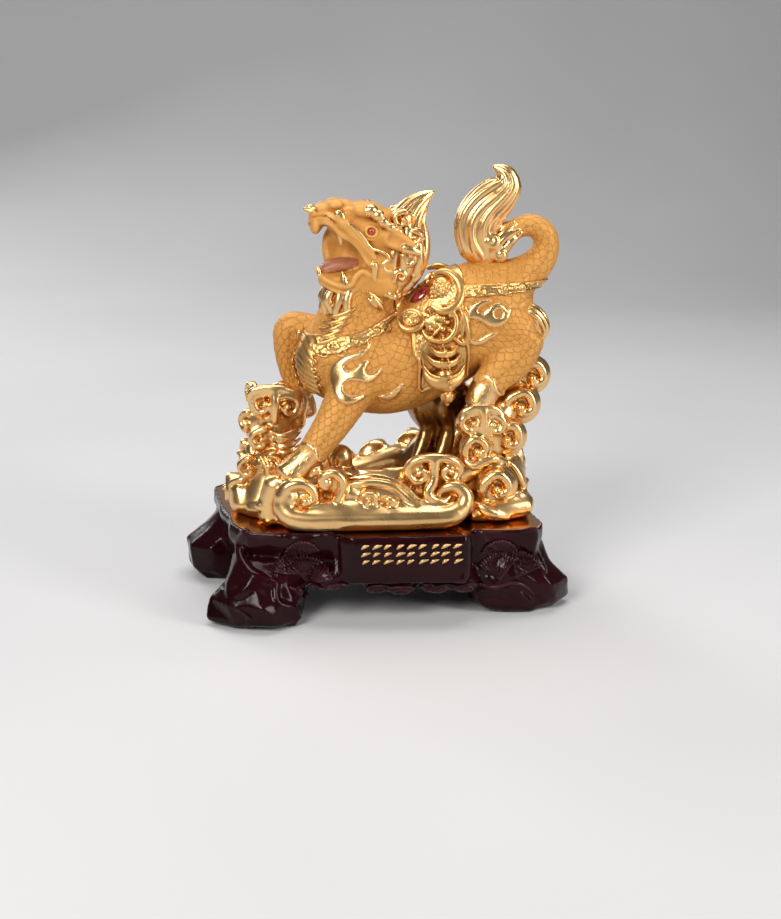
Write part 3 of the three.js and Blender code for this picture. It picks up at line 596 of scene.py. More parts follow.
class Look:
    """A node material in the making; most methods add a node and give its output."""

    def __init__(self, name):
        self.material = bpy.data.materials.new(name)
        self.material.use_nodes = True
        self.nodes = self.material.node_tree.nodes

    def feed(self, sockets, values):
        """Links outputs to sockets by name or number, and sets numbers, lists and colours (tuples)."""
        for key, value in values.items():
            if isinstance(value, bpy.types.NodeSocket):
                self.material.node_tree.links.new(value, sockets[key])
            else:
                sockets[key].default_value = (*value, 1.0) if isinstance(value, tuple) else value

    def main(self, **values):
        """Feeds the main shader, each input's name written with underscores; gives the material."""
        named = {key.replace("_", " "): value for key, value in values.items()}
        self.feed(self.nodes["Principled BSDF"].inputs, named)
        return self.material

    def node(self, kind, output, inputs, **settings):
        node = self.nodes.new("ShaderNode" + kind)
        for key, value in settings.items():
            setattr(node, key, value)
        self.feed(node.inputs, inputs)
        return node.outputs[output]

    def attribute(self, name):
        return self.node("Attribute", "Fac", {}, attribute_name=name)

    def noise(self, scale, detail=2.0, stretch=None):
        """Cloudy values, drawn finer along x, y and z by the stretch."""
        place = self.node("TexCoord", "Object", {})
        if stretch:
            place = self.node("Mapping", "Vector", {"Vector": place, "Scale": stretch})
        return self.node("TexNoise", "Fac", {"Vector": place, "Scale": scale, "Detail": detail})

    def span(self, value, low, high, to_low=0.0, to_high=1.0):
        """A value mapped from one range to another."""
        inputs = {"Value": value, "From Min": low, "From Max": high, "To Min": to_low, "To Max": to_high}
        return self.node("MapRange", "Result", inputs)

    def spread(self, cloud, low=0.0, high=1.0):
        """Noise, which mostly lies between 0.3 and 0.7, spread over a range."""
        return self.span(cloud, 0.3, 0.7, low, high)

    def mixed(self, factor, first, second):
        """Colour between two: each is a colour or an output."""
        return self.node("Mix", 2, {"Factor": factor, 6: first, 7: second}, data_type="RGBA")

    def sums(self, operation, *values):
        """Arithmetic on numbers and outputs."""
        return self.node("Math", 0, dict(enumerate(values)), operation=operation)

    def bumped(self, height, distance, strength, **under):
        """Surface direction of a fine relief, over the one given as Normal if there is one."""
        inputs = {"Height": height, "Distance": distance, "Strength": strength, **under}
        return self.node("Bump", "Normal", inputs)


def scale_lines(look):
    """Dark line round each scale, 0 to 1, in step with the carved scales; it is painted shade in the grooves
    between them, and also deepens them as a bump.
    """
    do = look.sums
    row, ring = look.attribute("row"), look.attribute("ring")
    first = do("CEIL", do("SUBTRACT", row, SCALE_REACH / SCALE_STEP))
    for k in range(3):
        centre = do("ADD", first, float(k))
        shift = do("MULTIPLY", do("MODULO", centre, 2.0), 0.5)
        nearest = do("ADD", do("ROUND", do("SUBTRACT", ring, shift)), shift)
        da = do("MULTIPLY", do("SUBTRACT", row, centre), SCALE_STEP / SCALE_REACH)
        db = do("DIVIDE", do("SUBTRACT", ring, nearest), SCALE_WIDE)
        distance = do("SQRT", do("ADD", do("MULTIPLY", da, da), do("MULTIPLY", db, db)))
        here = do("ABSOLUTE", do("SUBTRACT", distance, 1.0))
        outside = do("GREATER_THAN", distance, 1.0)
        if k == 0:
            gap, open_still = here, outside
        else:
            here = do("ADD", here, do("MULTIPLY", do("SUBTRACT", 1.0, open_still), 9.0))
            gap = do("MINIMUM", gap, here)
            open_still = do("MULTIPLY", open_still, outside)
    return do("MULTIPLY", look.span(gap, 0.015, 0.10, 1.0, 0.0), look.attribute("clear"))


MATT = (0.58, 0.262, 0.045)
MATT_LIGHT = (0.65, 0.31, 0.062)
# Painted shade: the darker tone of the matt gilt in hollows and in the grooves round the scales.
MATT_HOLLOW_SHADE = (0.40, 0.13, 0.018)
# Painted highlight: the lighter tone of the matt gilt on convex edges.
MATT_EDGE_HIGHLIGHT = (0.86, 0.50, 0.17)
BRIGHT = (0.86, 0.55, 0.24)
# Painted shade: the redder, darker tone of the polished gilt in hollows.
BRIGHT_HOLLOW_SHADE = (0.36, 0.105, 0.013)
# Painted shade: the dark brown tone that stands in for shade and dark reflections on the inner faces of the
# clouds' bed and pillar.
SHADED = (0.26, 0.155, 0.065)
SATIN = (0.70, 0.42, 0.15)
BRUSHED = (0.66, 0.38, 0.13)
LACQUER = (0.009, 0.0010, 0.0018)
LACQUER_LIGHT = (0.021, 0.0021, 0.0036)
# Painted highlight: the lighter purple of the lacquer on edges and ridges.
LACQUER_EDGE_HIGHLIGHT = (0.060, 0.017, 0.026)
# Painted shade: the darker tone of the lacquer in hollows.
LACQUER_HOLLOW_SHADE = (0.008, 0.0015, 0.002)
PLATE = (0.42, 0.19, 0.06)
PLATE_LIGHT = (0.58, 0.30, 0.11)
TONGUE_SKIN = (0.36, 0.125, 0.06)
TONGUE_LIGHT = (0.44, 0.17, 0.09)
GEM_RED = (0.33, 0.012, 0.016)
EYE_RED = (0.72, 0.075, 0.012)


def matt_tone(look, crease, cloud, line):
    """Colour of the matt gilt, with painted shade darker in hollows and round scales, and a painted highlight
    lighter on edges.
    """
    tone = look.mixed(look.spread(cloud), MATT, MATT_LIGHT)
    # Painted highlight on convex edges.
    tone = look.mixed(look.span(crease, -0.05, -0.5, 0.0, 0.6), tone, MATT_EDGE_HIGHLIGHT)
    # Painted shade in hollows.
    tone = look.mixed(look.span(crease, 0.04, 0.5), tone, MATT_HOLLOW_SHADE)
    if line is not None:
        # Painted shade in the grooves round the scales.
        tone = look.mixed(look.span(line, 0.0, 1.0, 0.0, 0.42), tone, MATT_HOLLOW_SHADE)
    return tone


def polished_tone(look, crease, tone, shaded=False):
    """Colour of the polished gilt, with painted shade: redder in hollows, and browner where the attribute
    shade is high if it is shaded.
    """
    if shaded:
        # Painted shade on the inner faces where the attribute shade is high.
        tone = look.mixed(look.attribute("shade"), tone, SHADED)
    # Painted shade in hollows.
    return look.mixed(look.span(crease, 0.07, 0.45), tone, BRIGHT_HOLLOW_SHADE)


def gilt(name, rough=(0.25, 0.34), tone=BRIGHT, shaded=False):
    """Polished gilt with painted shade, redder in hollows, and more painted shade, a browner tone standing in
    for shade and dark reflections, where the attribute shade is high if it is shaded.
    """
    look = Look(name)
    cloud = look.noise(55.0, 3.0)
    bright = polished_tone(look, look.attribute("crease"), tone, shaded)
    return look.main(Base_Color=bright, Roughness=look.spread(cloud, *rough), Metallic=1.0,
                     Normal=look.bumped(cloud, 0.0002, 0.4))


def matt_gilt(name, scales=False):
    """Matt gilt with polished carving where the attribute polish is high."""
    look = Look(name)
    crease = look.attribute("crease")
    cloud = look.noise(55.0, 3.0)
    sand = look.noise(2600.0, 3.0)
    line = scale_lines(look) if scales else None
    shine = look.span(look.attribute("polish"), 0.35, 0.65)
    tone = look.mixed(shine, matt_tone(look, crease, cloud, line), polished_tone(look, crease, BRIGHT))
    wear = {"Factor": shine, 2: look.spread(sand, 0.5, 0.66), 3: look.spread(cloud, 0.25, 0.34)}
    normal = look.bumped(sand, 0.00012, 0.6)
    if scales:
        normal = look.bumped(line, -0.0003, 0.9, Normal=normal)
    return look.main(Base_Color=tone, Roughness=look.node("Mix", 0, wear), Normal=normal,
                     Metallic=look.span(shine, 0.0, 1.0, 0.2, 1.0))


def lacquer():
    """Deep red-brown lacquer with a painted highlight, a lighter purple, on edges, and painted shade in
    hollows.
    """
    look = Look("dark_lacquer")
    crease = look.attribute("crease")
    cloud = look.noise(22.0, 4.0)
    base = look.mixed(look.span(cloud, 0.35, 0.65), LACQUER, LACQUER_LIGHT)
    # Painted highlight on edges and ridges.
    base = look.mixed(look.span(crease, -0.08, -0.6), base, LACQUER_EDGE_HIGHLIGHT)
    # Painted shade in hollows.
    base = look.mixed(look.span(crease, 0.05, 0.6), base, LACQUER_HOLLOW_SHADE)
    return look.main(Base_Color=base, Roughness=look.spread(cloud, 0.15, 0.23), IOR=1.23, Coat_Weight=0.06,
                     Coat_Roughness=0.12, Normal=look.bumped(look.noise(140.0), 0.0003, 0.25))


def plate_gilt():
    """Polished plate with faint brushed streaks, warm and darker than the casting."""
    look = Look("plate_gilt")
    streak = look.noise(3.0, 4.0, stretch=[8.0, 260.0, 60.0])
    base = look.mixed(look.spread(streak), PLATE, PLATE_LIGHT)
    return look.main(Base_Color=base, Roughness=look.spread(streak, 0.12, 0.22), Metallic=1.0)


def tongue_skin():
    """Satin brown-pink tongue with fine mottling."""
    look = Look("tongue_skin")
    cloud = look.noise(420.0, 3.0)
    base = look.mixed(look.spread(cloud), TONGUE_SKIN, TONGUE_LIGHT)
    return look.main(Base_Color=base, Roughness=look.spread(cloud, 0.38, 0.5),
                     Normal=look.bumped(cloud, 0.0001, 0.5))


def stone(name, colour):
    """Polished dark red stone with a cloudy depth."""
    look = Look(name)
    cloud = look.noise(260.0, 4.0)
    deep = tuple(0.35 * part for part in colour)
    base = look.mixed(look.span(cloud, 0.35, 0.65), colour, deep)
    return look.main(Base_Color=base, Roughness=look.spread(cloud, 0.08, 0.14), IOR=1.6, Coat_Weight=0.6,
                     Subsurface_Weight=0.1)


# Photograph's viewing angle in degrees: towards the head end, and looking down.
VIEW_TURN = -6
VIEW_DOWN = 15
VIEW_DISTANCE = 1.1
VIEW_AIM = (0.01229, 0.0, 0.09609)
# Soft boxes: name, place, width, height, power and colour.
SOFT_BOXES = [
    ("key", (-0.9, -1.3, 1.15), 0.75, 0.75, 27.0, (1.0, 0.97, 0.93)),
    ("fill", (1.3, -0.9, 0.7), 0.4, 1.0, 15.0, (1.0, 0.98, 0.96)),
    ("top", (0.1, 0.3, 1.6), 1.2, 0.8, 16.0, (1.0, 1.0, 1.0)),
    ("rim", (-0.7, 1.3, 0.9), 0.6, 1.0, 8.0, (1.0, 1.0, 1.0)),
]
LIGHT_AIM = (0.0, 0.0, 0.15)


def put_up(name, data, at, direction):
    """Object for a camera or a lamp that looks along a direction."""
    thing = bpy.data.objects.new(name, data)
    thing.location = at
    thing.rotation_mode = "QUATERNION"
    thing.rotation_quaternion = direction.to_track_quat("-Z", "Y")
    bpy.context.scene.collection.objects.link(thing)
    return thing


def camera():
    azimuth, elevation = math.radians(VIEW_TURN), math.radians(VIEW_DOWN)
    back = Vector((
        math.sin(azimuth) * math.cos(elevation), -math.cos(azimuth) * math.cos(elevation),
        math.sin(elevation),
    ))
    data = bpy.data.cameras.new("camera")
    data.sensor_width = 36.0
    data.lens = 61.258
    data.clip_start = 0.05
    data.clip_end = 60.0
    bpy.context.scene.camera = put_up("camera", data, Vector(VIEW_AIM) + back * VIEW_DISTANCE, -back)
    bpy.context.scene.view_settings.view_transform = "Standard"


def lights():
    """Soft boxes round the figure and the light of the room."""
    for name, at, width, height, power, colour in SOFT_BOXES:
        data = bpy.data.lights.new(name, "AREA")
        data.shape = "RECTANGLE"
        data.size = width
        data.size_y = height
        data.energy = power
        data.color = colour
        put_up(name, data, at, Vector(LIGHT_AIM) - Vector(at))
    world = bpy.data.worlds.new("room")
    world.use_nodes = True
    background = world.node_tree.nodes["Background"].inputs
    background["Color"].default_value = (0.50, 0.50, 0.51, 1.0)
    background["Strength"].default_value = 0.22
    bpy.context.scene.world = world


def pale_floor():
    """Pale floor that sweeps up behind the figure."""
    half, start, radius, top = 8.0, 1.2, 1.0, 5.0
    profile = [(-half, 0.0), (start, 0.0)]
    for a in np.radians(range(10, 91, 10)):
        profile.append((start + radius * math.sin(a), radius * (1 - math.cos(a))))
    profile.append((start + radius, top))
    points = [(x, y, z) for y, z in profile for x in (-half, half)]
    quads = [(2 * k, 2 * k + 1, 2 * k + 3, 2 * k + 2) for k in range(len(profile) - 1)]
    floor = bpy.data.meshes.new("floor")
    floor.from_pydata(points, [], quads)
    floor.polygons.foreach_set("use_smooth", [True] * len(quads))
    look = Look("pale_floor")
    tone = look.mixed(look.spread(look.noise(3.0)), (0.56, 0.56, 0.57), (0.59, 0.59, 0.60))
    floor.materials.append(look.main(Base_Color=tone, Roughness=0.8))
    thing = bpy.data.objects.new("floor", floor)
    thing.location.z = -0.0002
    bpy.context.scene.collection.objects.link(thing)


# Height of the carved flames above the skin, in millimetres.
FLAME_HEIGHT = 1.5
# Hooves from the cuff down: [x, y, z, half width, half height].
HOOVES = [
    [[-44, -40, 51.5, 8.0, 8.6], [-52, -41.5, 44, 8.6, 9.4], [-61, -43, 36, 9.8, 10.4]],
    [[79, -26, 92, 9, 9.5], [73, -26.5, 86, 9.6, 10.5], [70, -27, 79, 10, 10]],
    [[-49, 23, 78, 7.5, 7.5], [-47, 23, 70, 8.5, 8.5], [-46, 23, 64, 8.5, 8.5]],
    [[83, 22, 84, 8.5, 9], [78, 23, 76, 9, 10], [77, 23, 68, 9, 9]],
]


def flame_mask(clay, outline):
    """Distance to a carved flame's outline on the near side, over the whole block."""
    x, y, z = clay.axes()
    flat = outline_distance(x[:, 0], z[0], closed_curve(outline))
    return np.where(y < 0, flat[:, None, :], LEFT_OFF).astype(np.float32)


def hooves(clay):
    """Polished cloven hooves with a turned-over cuff; returns their forms."""
    made = []
    for stations in HOOVES:
        made.append(bar(stations, sides=32, blunt=0.5))
        wide, high = stations[0][3:]
        forward, side, up = (v[0] for v in frames(np.array(stations, float)[:, :3], (0, 1, 0)))
        cos, sin = circle(15)
        ring = stations[0][:3] + np.outer(cos, side) * (wide + 0.4) + np.outer(sin, up) * (high + 0.4)
        ring = ring + np.outer(1.5 * np.sin(3 * np.linspace(0, 2 * np.pi, 15)), forward)
        made.append(ribbon(ring, 1.5))
    clay.add_all(made, 1.0)
    for stations in HOOVES:
        rows = np.array(stations, float)
        up = frames(rows[:, :3], (0, 1, 0))[2]
        front = rows[:, :3] + up * rows[:, 4:5] * np.sign(-up[:, :1] + 1e-6)
        clay.cut(ribbon(front, 0.9), 0.8)
    return made


def polished_share(clay, forms, over, soft):
    """1 on the forms and 0 away from them, halfway at the distance over."""
    return np.clip(0.5 - (clay.only(forms) - over) / soft, 0, 1)


def body(material):
    """Trunk, neck, legs and tail, with scales and polished flames; returns the clay and its bare skin."""
    clay = Clay((-86, -60, 22), (132, 38, 208), 1.0, band=10)
    clay.add(bar(TORSO, sides=48, steps=8), 0)
    clay.add(ball(*CHEST), 8)
    for stations, sides, blend in BODY_MASSES:
        clay.add(bar(stations, sides=sides), blend)
    shiny = hooves(clay)
    plain = clay.field.copy()
    polish = polished_share(clay, shiny, 0.35, 0.9).astype(np.float32)
    flat = np.min([flame_mask(clay, outline) for outline in FLAMES], axis=0)
    x, y, z = clay.axes()
    for at_x, at_z, radius in FLAME_EYES:
        flat = np.maximum(flat, radius - np.hypot(x - at_x, z - at_z)).astype(np.float32)
    raised = -soft_min(-(plain - FLAME_HEIGHT), -flat, 1.2)
    clay.join(raised, 0.3)
    polish = np.maximum(polish, np.clip(0.5 - flat / 1.0, 0, 1) * (y < 0))
    flat_foot(clay)
    carved(clay, "qilin_body", material, relief=body_relief("polish"), polish=polish)
    return clay, plain


# Head: [x, y, z] points in drawn millimetres; the near side is at small y.
UPPER_JAW = [
    [4, -2, 193, 17, 18], [-9, -4, 199, 16, 15], [-21, -5, 203, 13.5, 11.5], [-32, -6, 206, 11, 7.5],
    [-38, -6.5, 204.5, 8.5, 7],
]
LOWER_JAW = [
    [8, -2, 160, 16, 12], [-5, -4, 161.5, 16, 11], [-17, -5, 160.5, 14, 9.3], [-28, -6, 162, 11.5, 7.5],
    [-33, -6.5, 164, 9, 6],
]
TONGUE = [[-12, -7, 172, 7, 5], [-24, -7, 172.5, 7.5, 5], [-33, -7.5, 169.5, 6.5, 4.5]]
# The head turns a little to the near side, so its middle plane isn't at 0.
HEAD_MIDDLE = -5.0


def both_sides(points):
    """A path of the near side and its mirror on the far side."""
    points = np.asarray(points, float)
    far = points.copy()
    far[:, 1] = 2 * HEAD_MIDDLE - far[:, 1]
    return points, far


def tooth(x, y, z, radius, length, down=True, lean=0.0):
    """Blunt curved fang."""
    sign = -1 if down else 1
    stations = [
        [x, y, z, radius, radius], [x + 0.3 * lean, y, z + sign * 0.5 * length, radius * 0.8, radius * 0.8],
        [x + lean, y, z + sign * length, radius * 0.3, radius * 0.3],
    ]
    return bar(stations, sides=14, steps=4, blunt=1)


def head_masses(clay):
    """Skull, jaws and the open mouth."""
    clay.add(ball(4, -1, 181, 17, 17, 22), 0)
    clay.add(bar(UPPER_JAW, sides=40), 5)
    clay.add(ball(-39, -7, 199.8, 4.4, 9.5, 6.6), 3)
    clay.add(bar(LOWER_JAW, sides=40), 4)
    clay.add(bar([[-5, 1.5, 181, 8.5, 17], [-22, 1.5, 183, 7, 15], [-30, 1.5, 183, 6, 13]]), 4)
    clay.add(ball(3, -12, 172, 15, 8, 14), 5)
    clay.add(ball(3, 4, 172, 15, 8, 14), 5)
    clay.cut(ball(-25, -17, 183, 19, 15.5, 11.8, tilt=14), 2.5)
    clay.cut(ball(-38, -9, 181.5, 8, 9.5, 9.5), 2)
    clay.cut(ball(-22, -16, 172, 12, 8, 5), 3)
    clay.add(bar([[0, -8, 168, 13, 8], [-10, -10, 166.5, 10, 5], [-20, -8, 165, 10, 3.6],
                  [-28, -7, 163.6, 9, 3.4]]), 3)
    for side in (-1, 1):
        clay.add(ball(4, HEAD_MIDDLE + side * 9.5, 157.5, 11.5, 6, 7.0), 3)
        clay.add(ball(-7, HEAD_MIDDLE + side * 9.5, 156.5, 6.5, 5, 4.0, tilt=20), 2.5)


def head_lips(clay):
    """Rolled lips, jowl folds and gums."""
    upper = [(-41, -9, 199.5), (-38, -13, 201), (-33, -17, 202.5), (-27.5, -18.5, 200), (-22, -19.5, 194),
             (-15.5, -20, 190.5), (-9.5, -20.5, 184), (-5, -21, 176), (-1.5, -20, 173), (1.5, -19.5, 176)]
    lower = [(-38, -8, 168.5), (-35, -13, 165), (-28.5, -17, 161.5), (-20.5, -18.5, 159.3), (-16, -19.5, 161),
             (-12.8, -20, 166.5), (-8.5, -20, 169.5), (-3.5, -20, 167), (2, -19, 162.3), (8, -17.5, 162.3)]
    fold = [(-35, -13, 161), (-27, -16.5, 156.6), (-19, -17.5, 154.8), (-13.5, -18, 157), (-10, -18.5, 162),
            (-7.5, -18.3, 164.5), (-3, -18.6, 162.5), (2, -18, 157.5), (8, -17, 157.5)]
    band = [(-36, -14, 205.5), (-29, -17.5, 206), (-23, -19, 203), (-17, -20, 196.5), (-11, -20.5, 191),
            (-5.5, -21, 184.5), (-1.5, -20.5, 179)]
    groove = [(-42.5, -11, 204.6), (-38, -15.5, 206.2), (-31, -18.5, 206.0), (-26.5, -20, 202.6),
              (-21, -21.5, 197.6)]
    for path, width, taper, blend in ((upper, 2.2, 0.35, 1.8), (lower, 2.2, 0.35, 1.8),
                                      (fold, 1.7, 0.35, 1.8), (band, 3.4, 0.2, 2.0)):
        clay.add_all([ribbon(side, width, taper) for side in both_sides(path)], blend)
    for side in both_sides(groove):
        clay.cut(ribbon(side, 0.8, taper=0.6), 0.8)


def head_nose(clay):
    """Snout ridge, curled nostrils, muzzle lumps and the small nose horn."""
    for side in (-1, 1):
        y = HEAD_MIDDLE + side * 10
        clay.add(ball(-17.5, y - side * 1.0, 207.5, 6.6, 4.6, 5.0, tilt=-20), 2)
        clay.add(puff(-17.5, y + side * 2.5, 207.3, 5.2, 200, 1, 0.6, 0 if side < 0 else 180), 1.2)
        clay.add(ball(-20.5, y + side * 5.4, 201.4, 4.6, 3.4, 3.6, tilt=30), 2)
        clay.add(ball(-8.5, y + side * 3.0, 209.5, 6.5, 5, 4.2, tilt=10), 2.5)
        clay.cut(ball(-22.5, y + side * 4.6, 208.8, 2.0, 3, 1.4, tilt=-30), 1)
        clay.add(ball(-33.5, y - side * 3.5, 211.0, 5.6, 4.6, 3.4, tilt=-12), 1.6)
        clay.add(ball(-26.0, y - side * 1.6, 213.2, 5.4, 4.8, 3.6, tilt=-4), 1.6)
        clay.cut(ball(-38.2, y - side * 3.2, 209.6, 1.9, 2.0, 1.5, tilt=20), 0.8)
    clay.add(ball(-25, HEAD_MIDDLE, 212.6, 10, 6, 3.6, tilt=-8), 3)
    clay.add(ball(-4, HEAD_MIDDLE + 1, 211.0, 9.5, 8, 3.8, tilt=6), 3)
    clay.add(bar([[-34, -7, 208.5, 6, 3.4], [-39.5, -7, 208.4, 3.6, 2.2], [-44.6, -7, 209.6, 0.9, 0.8]]), 1.5)


def eye_socket(clay, x, y, z, side):
    """Rings round an eye stone."""
    cos, sin = circle(13)
    for radius, girth, out in ((3.9, 0.85, 0.4), (6.4, 1.0, -0.8)):
        ys = np.full(13, y + side * (out + 1.6)) - side * 0.06 * radius * cos
        clay.add(ribbon(np.column_stack([x + radius * cos, ys, z + radius * 0.86 * sin]), girth), 0.8)
    clay.cut(ball(x, y + side * 2.6, z, 2.9, 2.6, 2.9), 0.5)


def knobs(path, radii):
    """Row of rounded lumps along a path, one at each of its places."""
    return [ball(*place, radius * 1.15, radius, radius) for place, radius in zip(path, radii)]


def head_trim(clay):
    """Polished carving: brow, whisker, fangs, ear tips, fins. Returns the forms."""
    made = []

    def add(form, blend=0.7):
        clay.add(form, blend)
        made.append(form)

    brow = [(-8, -17.5, 208.6), (-3, -19.5, 209.8), (2, -20.8, 206.6), (5.5, -21, 202.2),
            (10.5, -20.5, 198.6), (16, -19, 195.8)]
    whisker = [(-23.3, -20.5, 207.2), (-20.5, -21.5, 203), (-16.5, -22, 201), (-10, -22.8, 194.6),
               (-6.5, -23, 190), (-3, -22.4, 185.4), (3, -20.6, 183), (8.3, -19.8, 180.2),
               (9.2, -19.6, 177.2), (5.4, -19.4, 173.6), (6, -19.2, 170.4), (10, -18.4, 168.6),
               (16, -17, 170.2)]
    for near, path in zip(both_sides(brow), both_sides(whisker)):
        lumps = knobs(near, [3.6, 4.6, 4.0, 3.6, 3.2, 2.8])
        clay.add_all(lumps, 0.8)
        made.extend(lumps)
        add(ribbon(near, 2.7, taper=0.2), 1)
        add(ribbon(path, 1.4, taper=0.25), 0.5)
        add(ball(*path[0], 4.4, 1.8, 2.8, tilt=40), 0.8)
    for side in (-1, 1):
        y = HEAD_MIDDLE + side * 10
        add(tooth(-23.0, y + side * 3.2, 195, 2.2, 8.0, lean=0.6))
        add(tooth(-41.6, -6 + side * 4.4, 200.5, 2.2, 5.0))
        add(tooth(-20.4, y + side * 3.2, 161.0, 2.7, 8.4, down=False, lean=-1.6))
        add(tooth(-37.0, -7 + side * 4.6, 167.0, 1.5, 4.6, down=False))
        add(tooth(-0.8, y + side * 6.4, 174.0, 2.6, 10.0, lean=0.8))
        add(ribbon([(-3.5, y + side * 4.5, 154), (-1, y + side * 5.0, 151), (3, y + side * 4, 146.8),
                    (7, y + side * 2, 142)],
                   1.7, taper=0.6), 0.6)
        add(ribbon([(-5, y + side * 4.2, 151.5), (-2, y + side * 4.6, 148), (1.5, y + side * 3.8, 144.5)],
                   1.1, taper=0.5), 0.5)
        add(ball(11.8, y + side * 3, 152, 3.4, 2.4, 2.6), 0.5)
        add(ball(8.4, y + side * 3, 153.5, 2.4, 2.2, 2.2), 0.5)
    add(bar([[-39.5, -7, 208.6, 4.6, 2.9], [-43.0, -7, 209.0, 3.4, 2.5], [-46.0, -7, 210.2, 1.5, 1.4]]), 0.3)
    add(ball(-42.2, -7, 211.8, 2.6, 2.2, 1.6), 0.5)
    return made


def ear(clay, side):
    """Folded leaf-shaped ear with a dished front and a polished tip; returns the tip's forms."""
    y = HEAD_MIDDLE + 3 + side * 14
    clay.add(bar([
        [6, y, 191.5, 4.5, 6.5], [12, y + side * 3, 191, 4.4, 6.8], [19, y + side * 5, 187.6, 3.6, 5.6],
        [25, y + side * 6.5, 184.6, 2.6, 4.2],
    ], sides=24), 1.5)
    clay.cut(bar([
        [9, y + side * 6.5, 191.6, 1.8, 3.6], [14, y + side * 8.2, 190.2, 2.2, 4.2],
        [20, y + side * 9.4, 187, 1.6, 3.0],
    ], sides=20), 1.2)
    tip = [
        bar([[19, y + side * 6, 185.2, 3.4, 3.6], [24, y + side * 7, 183.6, 3.0, 3.4],
             [29.5, y + side * 7, 181.6, 1.6, 2.2]],
            sides=20),
        ball(27, y + side * 6, 187.2, 2.4, 2.2, 2.4),
        ball(23.4, y + side * 6.6, 179.6, 1.8, 1.8, 1.8),
    ]
    clay.add_all(tip, 0.6)
    return tip


# Mane and crest, combed backwards and up to a point.
MANE = [
    [9, -2, 149, 8, 5], [14, -2, 157, 12, 9], [19, -2, 168, 15, 13], [21.5, -2, 180, 16, 15],
    [22.5, -2, 192, 14, 14], [24.5, -2, 202, 10, 11], [30.5, -2, 212, 6.5, 7.5], [37.5, -2, 218, 3.2, 3.4],
    [41.5, -2, 220.3, 1, 1],
]


def locks(stations, count, start, end, girth, twist=0.0, lift=0.86, shift=0.0):
    """Strands of hair over a bar: tapered ribbons that run from start to end along it."""
    rows = spline(stations, 8)
    forward, side, up = frames(rows[:, :3], (0, 1, 0))
    total = len(rows) - 1
    i = np.clip(np.linspace(start * total, end * total, 12).round().astype(int), 0, total)
    t = np.linspace(0, 1, len(i))
    made = []
    for k in range(count):
        angle = 2 * np.pi * ((k + shift) / count) + twist * t + 0.10 * np.sin(5 * t + 2.3 * k)
        out = lift * (1 + 0.05 * np.sin(3.1 * k + 4 * t))
        reach_side = (rows[i, 3] * np.cos(angle) * out)[:, None] * side[i]
        reach_up = (rows[i, 4] * np.sin(angle) * out)[:, None] * up[i]
        path = rows[i, :3] + reach_side + reach_up
        local = np.minimum(rows[i, 3], rows[i, 4])
        width = girth * local * (0.55 + 0.45 * np.sin(np.pi * np.clip(t * 0.85 + 0.12, 0, 1)))
        made.append(bar(np.column_stack([path, width, width]), across=(0.2, 1, 0.1), sides=12, steps=2,
                        blunt=1))
    return made


# Curls in the mane: [x, z, radius, reach to the side].
MANE_CURLS = [
    (18, 203, 7.4, 13.5), (27, 191, 6.0, 13.5), (23.5, 177.5, 6.6, 15.5), (17.5, 165, 6.4, 14.5),
    (27, 166, 5.0, 11.5), (14.5, 154.5, 4.6, 11),
]


def mane(clay):
    """Combed mane with small curls at its root; returns its forms."""
    made = [bar(MANE, sides=32, blunt=0.5)]
    made += locks(MANE, 13, 0.10, 0.98, 0.27, lift=0.92, twist=0.5)
    made += locks(MANE, 10, 0.0, 0.6, 0.24, shift=0.5, lift=0.98, twist=-0.4)
    for side in (-1, 1):
        for number, (x, z, radius, reach) in enumerate(MANE_CURLS):
            made += scroll(x, HEAD_MIDDLE + 3 + side * reach, z, radius, spin=60 + 50 * number,
                           hand=1 - 2 * (number % 2), turn=0 if side < 0 else 180)
    clay.add_all(made, 0.7)
    return made


def beard(clay):
    """Polished beard that falls in wavy strands from the chin; returns its forms."""
    made = [ball(-22, -5, 148, 12.5, 12, 10.5)]
    for k in range(9):
        side = -1 + 2 * k / 8
        y = HEAD_MIDDLE + 12.5 * math.sin(side * 1.35)
        x = -33 + 15 * side * side
        wave = 1.5 * math.sin(2.1 * k)
        made.append(bar([
            [x + 2, y * 0.95, 158, 3.0, 3.2], [x - 1 + wave, y * 1.06, 150, 3.0, 3.2],
            [x - 0.5 - wave, y * 1.06, 141.5, 2.5, 2.6], [x + 0.5 + wave, y * 1.08, 134.5, 0.9, 1.0],
        ], sides=14))
    clay.add_all(made, 0.6)
    return made


# Middles of the hollows for the eyes, with the side they look to.
EYES = ((-2.5, -18, 196, -1), (-2.5, 12.5, 196, 1))


def head(material, tongue_material):
    """Head, mane and beard as one casting, with the tongue set in the mouth."""
    clay = Clay((-49, -31, 132), (45, 24, 226), 0.62, band=5)
    head_masses(clay)
    head_lips(clay)
    head_nose(clay)
    for eye in EYES:
        eye_socket(clay, *eye)
    shiny = head_trim(clay)
    for side in (-1, 1):
        shiny += ear(clay, side)
    shiny += mane(clay) + beard(clay)
    carved(clay, "qilin_head", material, polish=polished_share(clay, shiny, 0.25, 0.8))
    mouth = Clay((-45, -20, 158), (0, 8, 184), 0.8)
    mouth.add(bar(TONGUE, sides=28), 0)
    mouth.cut(ribbon([(-12, -7.2, 178), (-24, -7.2, 178.6), (-36, -7.4, 175)], 1.2), 1.0)
    carved(mouth, "tongue", tongue_material)


TUFT_ROOT = [[100, 1, 195, 7, 6], [92, 1, 190, 8, 7.4], [84, 1, 182, 8.5, 9]]
# Curls at the tuft's foot: [x, reach to the side, z, radius, spin, hand, thickness].
TUFT_CURLS = [
    (80, 8, 186.5, 6.2, 150, 1, 0.7), (87, 7, 177.5, 5.4, 60, -1, 0.8), (95, 6, 188, 3.4, 20, 1, 0.9),
]


